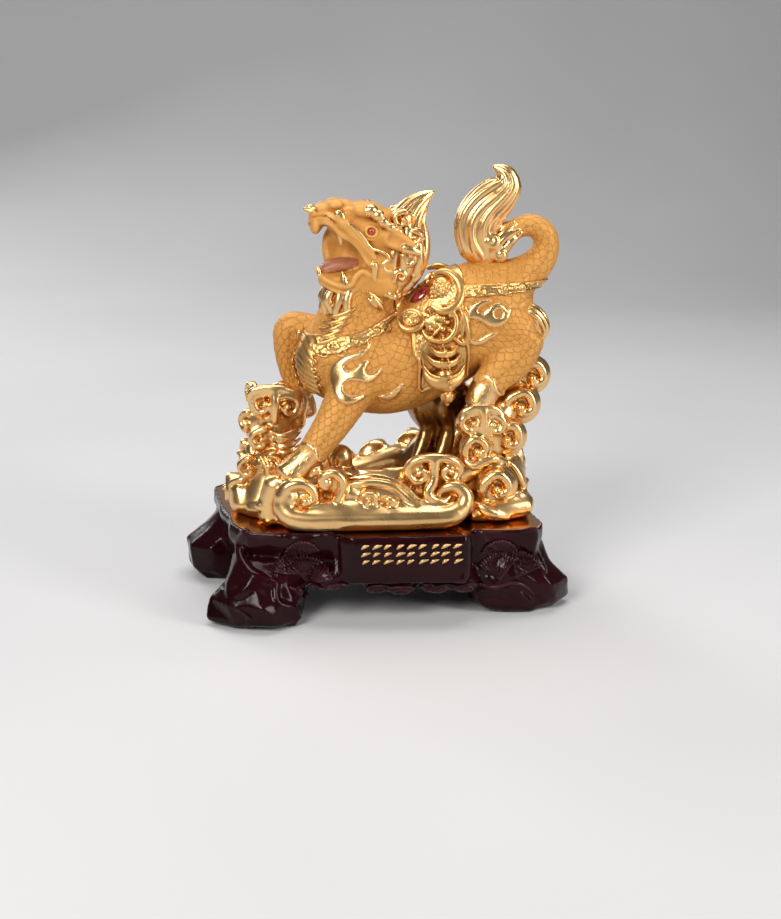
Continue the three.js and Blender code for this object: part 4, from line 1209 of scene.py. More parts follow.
def tail_tuft(material):
    """Flame-shaped tuft at the end of the tail, with curls at its foot."""
    clay = Clay((54, -16, 160), (108, 18, 240), 0.66)
    forms = [bar(TUFT, sides=32)]
    forms += locks(TUFT, 12, 0.05, 1.0, 0.28, twist=0.5, lift=0.92)
    forms += locks(TUFT, 9, 0.0, 0.6, 0.2, twist=-0.4, shift=0.4, lift=0.95)
    for side in (-1, 1):
        for x, reach, z, radius, spin, hand, thick in TUFT_CURLS:
            forms.append(puff(x, 1 + side * reach, z, radius, spin, hand, thick, 0 if side < 0 else 180))
    forms += locks(TUFT_ROOT, 10, 0.0, 1.0, 0.3, lift=0.9)
    clay.add_all(forms, 0.8)
    carved(clay, "tail_tuft", material)


# Clouds: rolled curls on rounded masses, all polished, with a flat underside.

def scroll(x, y, z, radius, spin=90, hand=1, turns=0.92, turn=0):
    """Cloud curl that faces -Y before it is turned: a thick band wound in to a bud, on a disc.
    spin is the angle of the band's outer end in degrees, and hand is 1 or -1 for the way it winds."""
    t = np.linspace(0, 1, 24)
    start = math.radians(spin)
    angle = start + hand * 2 * np.pi * turns * t
    reach = (0.74 - 0.62 * t ** 1.5) * (1 + 0.08 * np.cos(4 * (angle - start)) * (1 - t))
    rows = np.column_stack([
        reach * np.cos(angle), -0.12 - 0.18 * t, reach * np.sin(angle), 0.36 - 0.06 * t,
        0.24 * (1.24 - 0.42 * t),
    ])
    band = bar(rows * radius, sides=18, steps=3, blunt=0.9)
    bud = ball(*((rows[-1, :3] - (0, 0.06, 0)) * radius), 0.24 * radius, 0.36 * radius, 0.24 * radius)
    disc = ball(0, 0.26 * radius, 0, 1.06 * radius, 0.5 * radius, 1.06 * radius)
    return [(turned(points, turn=turn) + (x, y, z), triangles) for points, triangles in (disc, band, bud)]


def add_scrolls(clay, rows):
    """Adds curls [x, y, z, radius, spin, hand, turn] with crisp grooves between their bands."""
    for x, y, z, radius, spin, hand, turn in rows:
        clay.add_all(scroll(x, y, z, radius * 1.08, spin, hand, turn=turn), 0.5)


def strand(clay, path, widths, blend=0.6, depth=1.0, across=(0, 1, 0)):
    """Smooth band along a path of places with the given half widths."""
    widths = np.asarray(widths, float)
    rows = np.column_stack([np.asarray(path, float), widths * depth, widths])
    clay.add(bar(rows, across=across, sides=18, blunt=0.9), blend)


def flat_foot(clay):
    """Levels the underside of a cloud."""
    clay.trim((0.05 - clay.axes()[2]) * clay.share)


def cast_smooth(clay):
    """Rounds the clay a little, as casting and polishing do, and levels its underside."""
    clay.field = blurred(np.clip(clay.field, -5, 5), 1).astype(np.float32)
    flat_foot(clay)


def clouds_left(material):
    """Stacked column of curls under the raised foreleg's foot."""
    clay = Clay((-110, -32, -3), (-40, 38, 92), 0.75)
    clay.add_all([
        bar([[-76, 2, 6, 28, 22], [-72, 3, 28, 22, 15], [-68, 7, 48, 17, 12], [-67, 9, 66, 15, 14],
             [-66, 10, 74, 12, 11]]),
        bar([[-92, -4, 6, 14, 9], [-93, -2, 16, 11, 8]]),
        ball(-66, 6, 74, 18, 13, 11.5), ball(-52, 8, 74, 8, 10, 10), ball(-54, 10, 62, 8, 9, 9),
        ball(-72, 24, 66, 12, 8, 12), ball(-76, 24, 30, 13, 9, 13), ball(-66, 24, 48, 11, 8, 9),
    ], 3)
    add_scrolls(clay, [
        [-75.5, -4, 77, 10.5, 60, 1, -8], [-59.5, -5, 75, 10, 120, -1, 10], [-78, -9, 53, 9, 70, 1, -10],
        [-87, -12, 34, 8.5, 80, 1, -15], [-71, -14, 36, 9, 100, -1, 0], [-94, -6, 18, 8, 60, 1, -30],
        [-86, 12, 60, 9, 80, 1, -60], [-84, 20, 80, 7, 80, 1, -80], [-62, 22, 76, 10, 100, -1, 165],
        [-78, 30, 52, 10, 80, 1, 185], [-70, 31, 28, 11, 100, -1, 175],
        [-98, 8, 13, 11, 90, -1, -90], [-87.5, 14, 37, 10.5, 70, 1, -90],
    ])
    cap = [(-87, -5, 80), (-84, -6, 86), (-77, -7, 88.5), (-68, -8, 88.5), (-59, -7, 86.5), (-51, -5, 82),
           (-49, -3, 75)]
    strand(clay, cap, [1.6, 2.6, 2.8, 3.0, 2.8, 2.4, 1.4])
    strand(clay, [(-68, -8, 86), (-68, -9.5, 76), (-68.5, -9, 66)], [3.4, 3.6, 3.0], 1.0)
    for k, z in enumerate((61, 57, 52.5, 48)):
        path = [(-72 + k, -10, z - 2), (-65, -13.5, z - 4.5), (-57, -12, z - 2.5), (-50, -7, z + 1)]
        strand(clay, path, [1.0, 1.9, 1.9, 0.9], 0.4)
    for k in range(3):
        path = [(-80 + 5 * k, -14, 44 - 2 * k), (-76 + 5 * k, -17.5, 37), (-72 + 5 * k, -18, 29),
                (-71 + 5 * k, -16, 22)]
        strand(clay, path, [0.9, 1.9, 2.1, 1.2], 0.4)
    cast_smooth(clay)
    carved(clay, "clouds_left", material, merge=0.04)


def clouds_right(material):
    """Stack of lozenge curls that climbs under the rump, with rock lines beside it."""
    clay = Clay((44, -52, -3), (124, 48, 112), 0.75)
    clay.add_all([
        bar([[80, 2, 8, 38, 25], [80, 0, 26, 36, 20], [77, -2, 42, 32, 14], [80, -4, 56, 29, 16],
             [90, 0, 74, 26, 16], [101, -1, 92, 17, 12]]),
        ball(76, -18, 60, 16, 14, 14), ball(97, -6, 82, 14, 16, 14), ball(72, -30, 64, 15, 8, 11),
        bar([[90, -16, 38, 12, 8], [95, -14, 24, 13, 10], [97, -14, 8, 15, 11]]),
        bar([[66, -36, 6, 12, 8], [84, -38, 7.5, 11, 9], [101, -34, 8.5, 11, 8.5]]),
        ball(104, 16, 86, 12, 9, 12), ball(94, 24, 56, 14, 10, 13), ball(74, 36, 34, 14, 10, 14),
        ball(96, 30, 16, 13, 9, 13),
    ], 3)
    add_scrolls(clay, [
        [109.2, -15, 95, 12.6, 170, -1, 5], [101, -20.5, 75.8, 12.8, 165, -1, 0],
        [90.6, -27.5, 54.6, 12.6, 150, -1, 0],
        [68, -35.5, 49.4, 10.8, 200, -1, 0], [81.5, -41.5, 23.8, 13.2, 185, -1, 0],
        [98.5, -36, 8.5, 9.5, 110, -1, 15],
        [63.8, -33, 66.5, 9.3, 70, 1, 0], [80.2, -32.5, 65, 9.0, 110, -1, 0],
        [110, 8, 84, 10, 100, -1, 70], [100, 26, 58, 11, 90, 1, 150], [86, 40, 36, 12, 90, -1, 175],
        [104, 30, 20, 11, 60, 1, 140], [108, 20, 98, 9, 90, 1, 160], [66, 42, 18, 11, 120, -1, 180],
        [103, 2, 14, 12, 100, -1, 90], [99, -5, 36, 10.5, 60, 1, 90], [96, 9, 54, 10, 120, -1, 90],
        [103, -1, 71, 9.5, 80, 1, 90],
    ])
    cap = [(56.4, -33, 68), (58, -34.5, 74), (64, -35, 77.5), (72, -35, 77.8), (80, -34.5, 76.5),
           (86, -33, 71), (87.6, -32, 65)]
    strand(clay, cap, [1.8, 2.6, 3.0, 3.2, 3.0, 2.6, 1.6])
    strand(clay, [(72, -36, 76), (72.4, -37, 68), (72, -36, 60)], [3.4, 2.6, 2.0], 0.8)
    tail = [(58.5, -36, 43), (64.5, -38.5, 38.2), (72, -38.5, 41), (80, -36.5, 42.6), (86, -33, 39),
            (90, -30, 34)]
    strand(clay, tail, [2.4, 4.0, 3.4, 3.6, 3.2, 1.2], 0.6, depth=1.2)
    for k in range(5):
        path = [(86 + 3.2 * k, -29 + 3 * k, 41.5 - 0.6 * k), (95 + 2.0 * k, -30 + 4.2 * k, 33.5 - 1.2 * k),
                (101 + 1.1 * k, -30 + 6.5 * k, 22), (104 + 0.6 * k, -27 + 8 * k, 8)]
        strand(clay, path, [0.9, 2.6, 2.9, 1.8], 0.5)
    strand(clay, [(62, -40, 14), (70, -46, 10.5), (78, -47, 6), (88, -46, 4)], [1.6, 3.8, 4.6, 3.0], 0.8)
    strand(clay, [(92, -45, 12), (88, -47, 6), (84, -46, 2)], [1.0, 1.6, 1.2], 0.3)
    cast_smooth(clay)
    carved(clay, "clouds_right", material, merge=0.04)


def front_roll(clay):
    """Long roll along the foot, wound up at its head end."""
    roll = [(-62, -50, 24), (-64.5, -51, 16.5), (-60, -53.5, 10.5), (-48, -55.5, 8.4), (-25, -56.5, 8.0),
            (5, -57.5, 7.8), (30, -57.8, 7.8), (46, -57.5, 8.6), (55, -55, 13.5), (57.6, -53, 21),
            (52.4, -52, 27.4), (45.5, -52, 27.5), (39.6, -51, 23)]
    strand(clay, roll, [7.8, 7.9, 8.2, 8.0, 7.8, 7.8, 7.8, 7.6, 6.6, 5.8, 4.6, 3.6, 2.2], 0.7)
    clay.add(bar([[-46, -50, 12, 8, 9.5], [-20, -52, 11.5, 8.5, 9], [10, -52, 11, 8.5, 8.5],
                  [38, -51, 12, 8, 9]]), 2.0)
    wind = [(-66, -51, 24), (-62, -52, 31), (-54, -53, 33.2), (-46.6, -53.2, 29.6), (-44.8, -53.6, 23),
            (-50.5, -54.4, 21)]
    strand(clay, wind, [5.5, 5.0, 4.4, 3.8, 3.5, 3.4], 0.5, depth=1.2)
    clay.add(ball(-50.4, -56.5, 21.6, 3.7), 0.3)
    clay.add(ball(-51, -47, 23, 13, 8, 12), 1.0)


def front_stem(clay):
    """S-shaped stem that curls over at its top."""
    stem = [(-22, -47, 9), (-28.4, -50, 13.5), (-29.6, -51.5, 20), (-26.2, -52, 27), (-25.4, -52, 34.5),
            (-31, -52, 39.6), (-38, -51.5, 38), (-40.2, -51, 32.4), (-36.4, -52, 29.6)]
    strand(clay, stem, [2.6, 3.6, 3.8, 3.6, 3.6, 3.5, 3.2, 2.8, 2.6], 0.5, depth=1.3)
    clay.add(ball(-35.4, -53.4, 33.2, 3.2), 0.3)
    clay.add(ball(-33, -46, 33, 9, 7, 9), 1.0)
    strand(clay, [(-46.6, -50, 37.5), (-43.5, -51, 41), (-40.5, -50, 43)], [2.0, 2.6, 1.6], 0.4)


def front_double_curl(clay):
    """Two curls under one cap, on a neck that runs down into the roll."""
    for hand, x, z in ((1, 26.7, 36.4), (-1, 47.4, 37)):
        clay.add_all(scroll(x, -45.5, z, 10.2, spin=90 - hand * 10, hand=hand, turns=1.2), 0.5)
    cap = [(17.6, -47, 36), (19.6, -48, 42), (25, -49, 46.2), (32, -49.5, 47.6), (40, -49.5, 47.6),
           (48, -49, 46), (53.5, -48, 42), (56, -47, 36)]
    strand(clay, cap, [1.8, 2.8, 3.2, 3.4, 3.4, 3.2, 2.8, 1.6], 0.5, depth=1.2)
    neck = [(36.6, -50, 46), (36.4, -51, 37), (35, -52, 30), (32, -53, 25), (34.5, -54, 20.4),
            (42, -54, 18.4), (47, -53, 21)]
    strand(clay, neck, [4.2, 3.6, 3.8, 3.8, 3.4, 2.6, 1.4], 0.6, depth=1.1)
    for k in range(3):
        path = [(31 + 2 * k, -55, 15 + 2.2 * k), (38 + k, -56.5, 12.6 + 2 * k), (46, -56.5, 13.4 + 1.7 * k),
                (51.5 - k, -55, 17.5 + k)]
        strand(clay, path, [0.6, 1.3, 1.2, 0.5], 0.25)


def front_waves(clay):
    """Waves that sweep down to the roll, with a small curl among them."""
    clay.add(bar([[-26, -44, 24, 9, 7], [-4, -46, 23, 9, 7], [14, -46, 20, 9, 7], [28, -48, 14, 8, 6]]), 2.5)
    clay.add_all(scroll(-8, -55.5, 20.5, 7.4, spin=140, hand=-1, turns=1.05), 0.5)
    strand(clay, [(0.5, -56, 21), (5, -57.5, 21.6), (9, -57.5, 19), (6, -58.5, 16.6)], [1.6, 2.6, 2.2, 1.2],
           0.4)
    waves = [
        [(-27, -47, 27.5), (-15, -50, 31), (-2, -51, 31.4), (9, -52, 28.4), (18, -54, 21), (27, -57, 13.5),
         (35, -59, 10)],
        [(-22, -45, 33.4), (-8, -47, 35.2), (6, -48, 33), (16, -50, 27.6), (25, -53, 19.4), (33, -56, 15)],
        [(8, -55, 22.6), (15, -57, 16.4), (23, -59.5, 10.4), (31, -61, 7.4)],
    ]
    for path, width in zip(waves, (2.9, 2.5, 1.6)):
        strand(clay, path, [0.8] + [width] * (len(path) - 2) + [0.6], 0.5)


def clouds_front(material):
    """Front clouds: the long roll, the stem, the double curl, the waves and the block under the near hoof."""
    clay = Clay((-88, -70, -3), (68, -24, 54), 0.7)
    clay.add_all([
        bar([[-62, -34, 8, 14, 12], [-63, -36, 20, 11, 10], [-58, -38, 30, 9, 9]]),
        bar([[-60, -36, 10, 16, 9], [-30, -38, 10, 15, 10], [0, -38, 10, 15, 9], [30, -38, 12, 15, 10],
             [56, -36, 12, 14, 11]]),
        bar([[-44, -34, 18, 12, 10], [-31, -37, 26, 9, 9]]),
        bar([[24, -32, 26, 10, 8], [36, -34, 36, 8, 10], [48, -33, 34, 8, 9]]),
    ], 3)
    front_roll(clay)
    front_stem(clay)
    front_double_curl(clay)
    front_waves(clay)
    clay.add_all([
        bar([[-74, -36, 6, 9, 8], [-74, -37, 18, 8, 7.4], [-70, -38, 29, 9, 8.5]], sides=20),
        ball(-66, -40, 32, 8, 7, 4.5, tilt=12), ball(-79, -38, 14, 5.4, 5.5, 5),
    ], 0.8)
    cast_smooth(clay)
    carved(clay, "clouds_front", material, merge=0.04)


def clouds_base(material):
    """Low bed of cloud, the mound with its pearl bud, and the pillar under the belly on the far side."""
    clay = Clay((-118, -50, -3), (120, 52, 100), 1.2)
    clay.add_all([
        bar([[-86, 0, 7, 24, 9], [-60, -2, 9, 38, 11], [-25, -2, 8, 44, 10], [20, -2, 8, 46, 10],
             [60, -2, 9, 45, 11],
             [88, 0, 9, 40, 11], [97, 2, 8, 31, 9]], sides=40, blunt=0.5),
        bar([[46, 24, 12, 19, 32], [44, 24, 30, 16, 20], [49, 22, 46, 13, 12], [48, 20, 62, 15, 20],
             [46, 16, 78, 15, 24]]),
        bar([[10, -29, 18, 12, 8], [30, -30, 28, 11, 9], [52, -30, 30, 12, 10], [70, -28, 40, 11, 11]]),
        bar([[-22, -16, 12, 13, 15], [-23, -16, 30, 10, 11]]),
        bar([[-24, 36, 14, 10, 8], [0, 38, 18, 12, 9], [24, 36, 24, 14, 12]]),
    ], 4)
    clay.add(ball(-24.5, -17, 41, 9.4, 8.6, 9.6), 0.8)
    strand(clay, [(-36, -20, 30), (-30, -25, 33), (-20, -26, 31), (-12, -24, 26)], [2, 3, 3, 2], 0.6)
    for k in range(3):
        z = 37 - 3.4 * k
        path = [(-18, -36 - 2.0 * k, z), (0, -38 - 2.0 * k, z - 0.6), (16, -38 - 2.0 * k, z),
                (24, -35, z + 2)]
        strand(clay, path, [1.2, 2.3, 2.3, 1.2], 0.4)
    for k in range(2):
        x = 37 + 15 * k
        path = [(x, 8 - 4 * k, 86), (x - 3, 7 - 4 * k, 70), (x + 2, 10 - 4 * k, 55), (x - 1, 7 - 4 * k, 42),
                (x - 8, 0 - 4 * k, 31)]
        strand(clay, path, [3.0, 6.5, 5.0, 6.0, 3.0], 3.5)
    add_scrolls(clay, [
        [-20, 44, 20, 12, 60, 1, 180], [6, 46, 24, 12, 120, -1, 180], [34, 46, 30, 13, 80, 1, 180],
        [60, 40, 22, 12, 60, -1, 175], [-46, 34, 18, 12, 90, -1, 185], [44, 36, 60, 12, 90, 1, 180],
        [52, 34, 80, 11, 90, -1, 175],
    ])
    cast_smooth(clay)
    x, y, z = clay.axes()
    # The inner faces lie above the bed and between the front clouds and the far side; their shade attribute
    # gives them painted shade, a dark brown tone that stands in for the shade and dark reflections there.
    inner = np.clip((z - 14) / 8, 0, 1) * np.clip((34 - y) / 8, 0, 1) * np.clip((y + 10) / 8, 0, 1)
    carved(clay, "clouds_base", material, merge=0.04, shade=(inner + 0 * x).astype(np.float32))


# Harness: saddle, straps, hanging ornaments and chest plates, laid on the body's skin.

# Outline of the saddle cloth in X and Z.
SADDLE_CLOTH = [
    (15, 142), (16.5, 132), (22.6, 129), (23.4, 118), (24.6, 112.6), (27.0, 110.2), (27.4, 99), (27.8, 90),
    (30.6, 86.6), (38, 88.6), (44, 89.6), (52, 89), (58.5, 92), (63.3, 95.6), (64.2, 104), (64.2, 113),
    (63, 121.5), (63.2, 131), (61.5, 140), (58.6, 148), (58.6, 170), (36, 172), (15, 152),
]
# Upper and lower lines of the necklace and the crupper: height by x.
NECK_LINE = [(-62, 125.5), (-42, 125), (-30.8, 125.9), (-15, 127.9), (-3.7, 132.2), (5.3, 136.6),
             (12.1, 139.9), (20, 144)]
NECK_EDGE = [(-62, 116), (-42, 115.5), (-33, 114.6), (-26.4, 115.4), (-20, 118.4), (-15.1, 121), (-9, 121.6),
             (-3.8, 125.4), (1.5, 126.6), (5.2, 129.4), (9, 133.6), (12, 136.5), (20, 141)]
RUMP_LINE = [(52, 158.6), (58.3, 159.4), (70.7, 160.2), (84.2, 160.6), (99, 160.4), (130, 160)]
RUMP_EDGE = [(52, 151.4), (58.3, 151.9), (70.7, 152.3), (84.2, 153.4), (99, 154), (130, 154)]
# Front and rear lines of the chest plates: x by height.
CHEST_LINE = [(82, -42), (90, -46), (101, -49.5), (111, -47.5), (121.5, -43), (133, -36.5), (143, -31)]
CHEST_EDGE = [(80, -34), (90, -38.5), (102, -42), (113, -42.5), (129, -35), (135, -24), (146, -17)]
SHEET_SINK = 1.2


def on_line(line, at):
    """Second number of a line's places where the first one is as given."""
    places = np.array(line, float)
    return np.interp(at, places[:, 0], places[:, 1])


def skin_depth(clay, skin, x, z, side):
    """The drawn y where the skin is met at (x, z), looking from the near (-1) or far (1) side."""
    at = clay.real(np.array([x, 0, z], float)) / clay.cell - clay.start
    column = skin[int(round(at[0])), :, int(round(at[2]))]
    inside = np.nonzero(column < 0)[0]
    if len(inside) == 0:
        return 0.0
    return float(clay.axes()[1].ravel()[inside[0] if side < 0 else inside[-1]])


def cord_on(clay, skin, path, girth, lift=0.6, side=-1, blend=0.3):
    """Round cord over a path of [x, z] places on the skin; girth is one half width or one for each place."""
    rows = np.array([(x, skin_depth(clay, skin, x, z, side) + side * lift, z) for x, z in path])
    widths = np.broadcast_to(np.asarray(girth, float), len(rows))
    clay.add(bar(np.column_stack([rows, widths, widths]), across=ASKEW, sides=14, blunt=1.0), blend)


def bead_on(clay, skin, x, z, radius, lift=0.6, side=-1, blend=0.2):
    """Bead on the skin at (x, z)."""
    clay.add(ball(x, skin_depth(clay, skin, x, z, side) + side * lift, z, radius), blend)


def sheet_on(skin, flat, rise, sink=SHEET_SINK, soft=1.0):
    """Thin sheet over the skin inside a flat outline, with softened edges."""
    return -soft_min(-np.maximum(skin - rise, -skin - sink), -flat, soft)


def saddle_cloth(clay, skin, inset, girth):
    """Cloth on the skin with a rolled border below the seat; returns the distance to its outline."""
    x, y, z = clay.axes()
    flat = outline_distance(x[:, 0], z[0], closed_curve(SADDLE_CLOTH, 160))[:, None, :] + 0 * y
    clay.field = sheet_on(skin, flat, 1.7).astype(np.float32)
    border = np.hypot(flat + inset, skin - 2.0) - girth
    clay.join(np.where(z < 128, border, LEFT_OFF), 0.5)
    return flat


def saddle_near(material, body):
    """Saddle cloth with rolled border, coin, gem setting, crescent, basket, ruffles and hanging ingots."""
    clay = Clay((4, -46, 70), (78, 3, 178), 0.6, band=4)
    skin = clay.borrow(*body)
    flat = saddle_cloth(clay, skin, 1.5, 1.35)
    x, y, z = clay.axes()
    inner = np.hypot(flat + 4.4, skin - 1.7) - 0.55
    clay.join(np.where(z < 124, inner, LEFT_OFF), 0.4)
    pebbles = 0.32 * (np.sin(x * 2.9 + 1.3 * np.sin(z * 1.7)) * np.sin(z * 3.1 + 1.2 * np.sin(x * 1.3)))
    pebbled = np.clip((-flat - 5.0) / 1.0, 0, 1) * np.clip((2.6 - np.abs(skin - 1.7)) / 1.5, 0, 1)
    clay.field = (clay.field - pebbles * pebbled).astype(np.float32)
    saddle_coin(clay)
    saddle_ring(clay)
    saddle_basket(clay, skin)
    saddle_ruffles(clay, skin)
    saddle_ingots(clay)
    clay.trim(y - 1.5)
    carved(clay, "saddle_near", material, merge=0.02)


def saddle_coin(clay):
    """Round coin in a rolled cup, on the flank in front."""
    centre = np.array([23.6, -23.5, 137.4])

    def put(form, blend):
        points, triangles = form
        clay.add((turned(points, turn=-12, roll=-38) + centre, triangles), blend)

    cos, sin = circle(25)
    cup = np.radians(np.linspace(170, 372, 12))
    lower = np.column_stack([8.8 * np.cos(cup), np.full(12, -0.4), 8.4 * np.sin(cup)])
    put(ball(0, 3.2, 0, 9, 5.5, 9), 1.0)
    put(ball(0, 0.2, 0, 6.4, 2.2, 6.4), 0.3)
    put(ribbon(np.column_stack([7.6 * cos, np.full(25, -0.4), 7.6 * sin]), 0.9), 0.3)
    put(bar(np.column_stack([lower, np.full(12, 2.2), 1.6 * np.sin(np.linspace(0.3, 2.84, 12)) + 0.5])), 0.4)
    put(ribbon(np.column_stack([5.2 * cos, np.full(25, -1.9), 5.2 * sin]), 0.5), 0.2)
    for k in range(4):
        a = math.radians(45 + 90 * k)
        put(ribbon([(3.4 * math.cos(a + s), -2.3, 3.4 * math.sin(a + s)) for s in (-0.42, 0, 0.42)], 0.5),
            0.15)
        side = [(1.5 * math.cos(b), -2.3, 1.5 * math.sin(b)) for b in np.radians([90 * k, 90 * k + 90])]
        put(ribbon([side[0], np.mean(side, axis=0), side[1]], 0.36), 0.1)


# Middle and radius of the crescent at the rear of the saddle, in X and Z.
CRESCENT_X = 45.6
CRESCENT_Z = 155.5
CRESCENT_RADIUS = 12.2
GEM_AT = (32.5, -9.5, 151)
GEM_TURN = {"tilt": -40, "roll": 28}


def crescent(clay, side):
    """Crescent cantle on one side of the saddle; returns its path."""
    path = []
    widths = []
    for k in range(11):
        angle = math.radians(118 - k * 25)
        z = CRESCENT_Z + CRESCENT_RADIUS * math.sin(angle)
        path.append((CRESCENT_X + CRESCENT_RADIUS * math.cos(angle), side * (13.5 + 0.62 * (167 - z)), z))
        widths.append(1.1 + 2.5 * math.sin(math.pi * (k + 0.4) / 10.8) ** 0.8)
    strand(clay, path, widths, across=(0.1, 1, 0.5 * side))
    return path


def saddle_ring(clay):
    """Crescent cantle round a textured pommel, and the setting of the gem."""
    path = crescent(clay, -1)
    inner = [(x + 0.32 * (CRESCENT_X - x), y + 1.2, z + 0.32 * (CRESCENT_Z - z)) for x, y, z in path[1:-1]]
    strand(clay, inner, [0.9] * len(inner), 0.3)
    clay.add(ball(45.0, -15.0, 154.5, 9.4, 6.5, 10.4), 1.2)
    for k in range(4):
        r = 2.5 * k
        for j in range(1 + 5 * k):
            a = 2 * math.pi * j / (1 + 5 * k) + 0.4 * k
            clay.add(ball(45 + r * math.cos(a), -21.4 + 0.045 * r * r, 154.5 + r * math.sin(a), 1.35), 0.25)
    cos, sin = circle(25)
    setting = np.column_stack([10.2 * cos, 7.0 * sin, np.full(25, 0.2)])
    clay.add(ball(32.5, -9.5, 149.6, 10.2, 7.2, 3.6, **GEM_TURN), 1.0)
    clay.add(ribbon(turned(setting, **GEM_TURN) + GEM_AT, 1.35), 0.4)
    clay.cut(ball(*GEM_AT, 9.1, 6.1, 4.3, **GEM_TURN), 0.2)
    for k in range(7):
        t = k / 6
        clay.add(ball(16.5 + 24 * t, -2 - 3 * math.sin(9 * t), 142.5 + 20.5 * t, 2.4, 2.6, 2.0), 0.8)


def saddle_basket(clay, skin):
    """Crescent-rimmed basket of beads and curls in the middle of the saddle."""
    rim = [(31.0, 131.0), (33.0, 127.0), (36.5, 124.6), (42.0, 123.2), (47.6, 124.4), (51.6, 128.8),
           (53.4, 134.6), (52.4, 140.6), (49.0, 144.2), (46.0, 142.4)]
    cord_on(clay, skin, rim, [0.9, 1.7, 2.1, 2.3, 2.3, 2.2, 2.1, 1.9, 1.5, 0.8], lift=3.4, blend=0.5)
    mound = skin_depth(clay, skin, 42, 133, -1)
    clay.add(ball(42, mound - 0.5, 133.5, 9.5, 3.2, 8.5), 1.0)
    beads = [
        (36.4, 131.4, 1.7), (39.6, 134.8, 1.9), (43.4, 138.6, 1.8), (47.6, 136.0, 1.9), (44.6, 131.6, 2.1),
        (40.0, 129.0, 1.7), (48.6, 131.2, 1.7), (36.6, 136.2, 1.4), (39.8, 139.6, 1.5), (45.6, 142.0, 1.3),
        (49.6, 140.2, 1.4), (44.4, 127.2, 1.4),
    ]
    for x, z, radius in beads:
        bead_on(clay, skin, x, z, radius, lift=3.6)
    for x, z, radius, spin, hand in ((34.0, 135.5, 3.2, 40, 1), (36.8, 142.2, 3.0, 150, -1),
                                     (51.6, 146.6, 3.6, 200, 1)):
        y = skin_depth(clay, skin, x, z, -1) - 2.4
        clay.add_all(scroll(x, y, z, radius, spin=spin, hand=hand, turns=1.0), 0.2)
    leaf = [(36, 125.4), (38.4, 128.4), (41.8, 131.8), (43.4, 136)]
    cord_on(clay, skin, leaf, [0.5, 1.0, 1.0, 0.4], lift=4.6, blend=0.2)


def saddle_ruffles(clay, skin):
    """Folded ribbons that fall behind the basket."""
    folds = [
        ([(54.0, 147.5), (58.4, 141.0), (60.9, 132.0), (61.3, 125.6), (58.6, 121.2), (55.2, 122.4),
          (52.6, 124.8), (50.8, 123.4)], [0.8, 1.7, 1.9, 1.9, 1.9, 1.7, 1.4, 0.6]),
        ([(56.4, 144.0), (57.4, 138.0), (57.6, 131.0), (57.4, 127.0), (55.4, 125.6)],
         [0.6, 1.2, 1.3, 1.2, 0.6]),
        ([(60.0, 147.0), (61.6, 142.0), (62.4, 136.0)], [0.6, 1.2, 0.6]),
        ([(54.2, 141.0), (55.0, 135.0), (54.6, 129.6), (53.0, 127.0)], [0.5, 1.1, 1.1, 0.5]),
    ]
    for path, widths in folds:
        cord_on(clay, skin, path, widths, lift=2.4, blend=0.5)
    for k in range(4):
        path = [(23.8 + k, 124 - 4 * k), (27 + k, 122 - 3.4 * k), (30.5, 123.4 - 4 * k)]
        cord_on(clay, skin, path, [0.3, 0.7, 0.3], lift=2.0)


# The hanging ornaments' line of depth, and the middle of the ball below them.
HANG_Y = -31.5
DROP_X = 47.7
# Half an ingot's hull from its middle out: share of its half length, y, share of its depth below the top,
# half width, and the share of its depth that is its half height. The tip has a height of its own.
HULL = [(0, -33.0, 0.70, 5.2, 0.40), (0.4, -32.6, 0.66, 4.6, 0.36), (0.78, -31.6, 0.42, 3.0, 0.22),
        (1, -30.5, 0, 1.0, 0)]


def saddle_ingots(clay):
    """Three boat-shaped ingots hung one above the other on a line of beads, with a ball below."""
    for middle, top, bottom, half in ((45.0, 119.4, 112.6, 9.4), (45.0, 113.6, 105.4, 11.6),
                                      (45.3, 106.6, 91.0, 14.0)):
        deep = top - bottom
        hull = []
        for sign, half_hull in ((-1, HULL[:0:-1]), (1, HULL)):
            for out, y, drop, wide, high in half_hull:
                hull.append([middle + sign * out * half, y, top - drop * deep, wide, high * deep or 0.9])
        clay.add(bar(hull, sides=24), 0.4)
        rim = [
            (middle - half, HANG_Y, top + 0.4), (middle - half * 0.62, -35.2, top - 0.34 * deep),
            (middle, -37.4, top - 0.44 * deep), (middle + half * 0.62, -35.2, top - 0.34 * deep),
            (middle + half, HANG_Y, top + 0.4),
        ]
        clay.add(ribbon(rim, 1.15, taper=0.4), 0.4)
        clay.add(ball(middle, -33.4, top - 0.36 * deep, half * 0.36, 3.4, 0.26 * deep), 0.5)
    path = [(42.2, -34.5, 124.6), (44.6, -36.4, 119.6), (46.6, -38.2, 114), (47.6, -38.8, 109),
            (48.4, -39.6, 103.5), (48.8, -39.4, 98), (48.6, -37.8, 92.5)]
    clay.add(ribbon(path, 0.5), 0.2)
    clay.add_all([ball(*place, 1.15) for place in spline(path, 6)[::4]], 0.15)
    clay.add(ball(47.6, HANG_Y, 90.6, 5.6, 5.0, 1.7), 0.4)
    clay.add(ball(DROP_X, HANG_Y, 85.6, 4.9), 0.4)
    clay.add(ball(DROP_X, HANG_Y, 80.4, 1.8), 0.5)
    for k in range(7):
        a = 2 * math.pi * k / 7
        path = [(DROP_X + r * math.cos(a), HANG_Y + r * math.sin(a), z) for r,
                z in ((4.6, 87.6), (5.1, 85.4), (3.6, 82))]
        clay.add(ribbon(path, 0.55), 0.3)


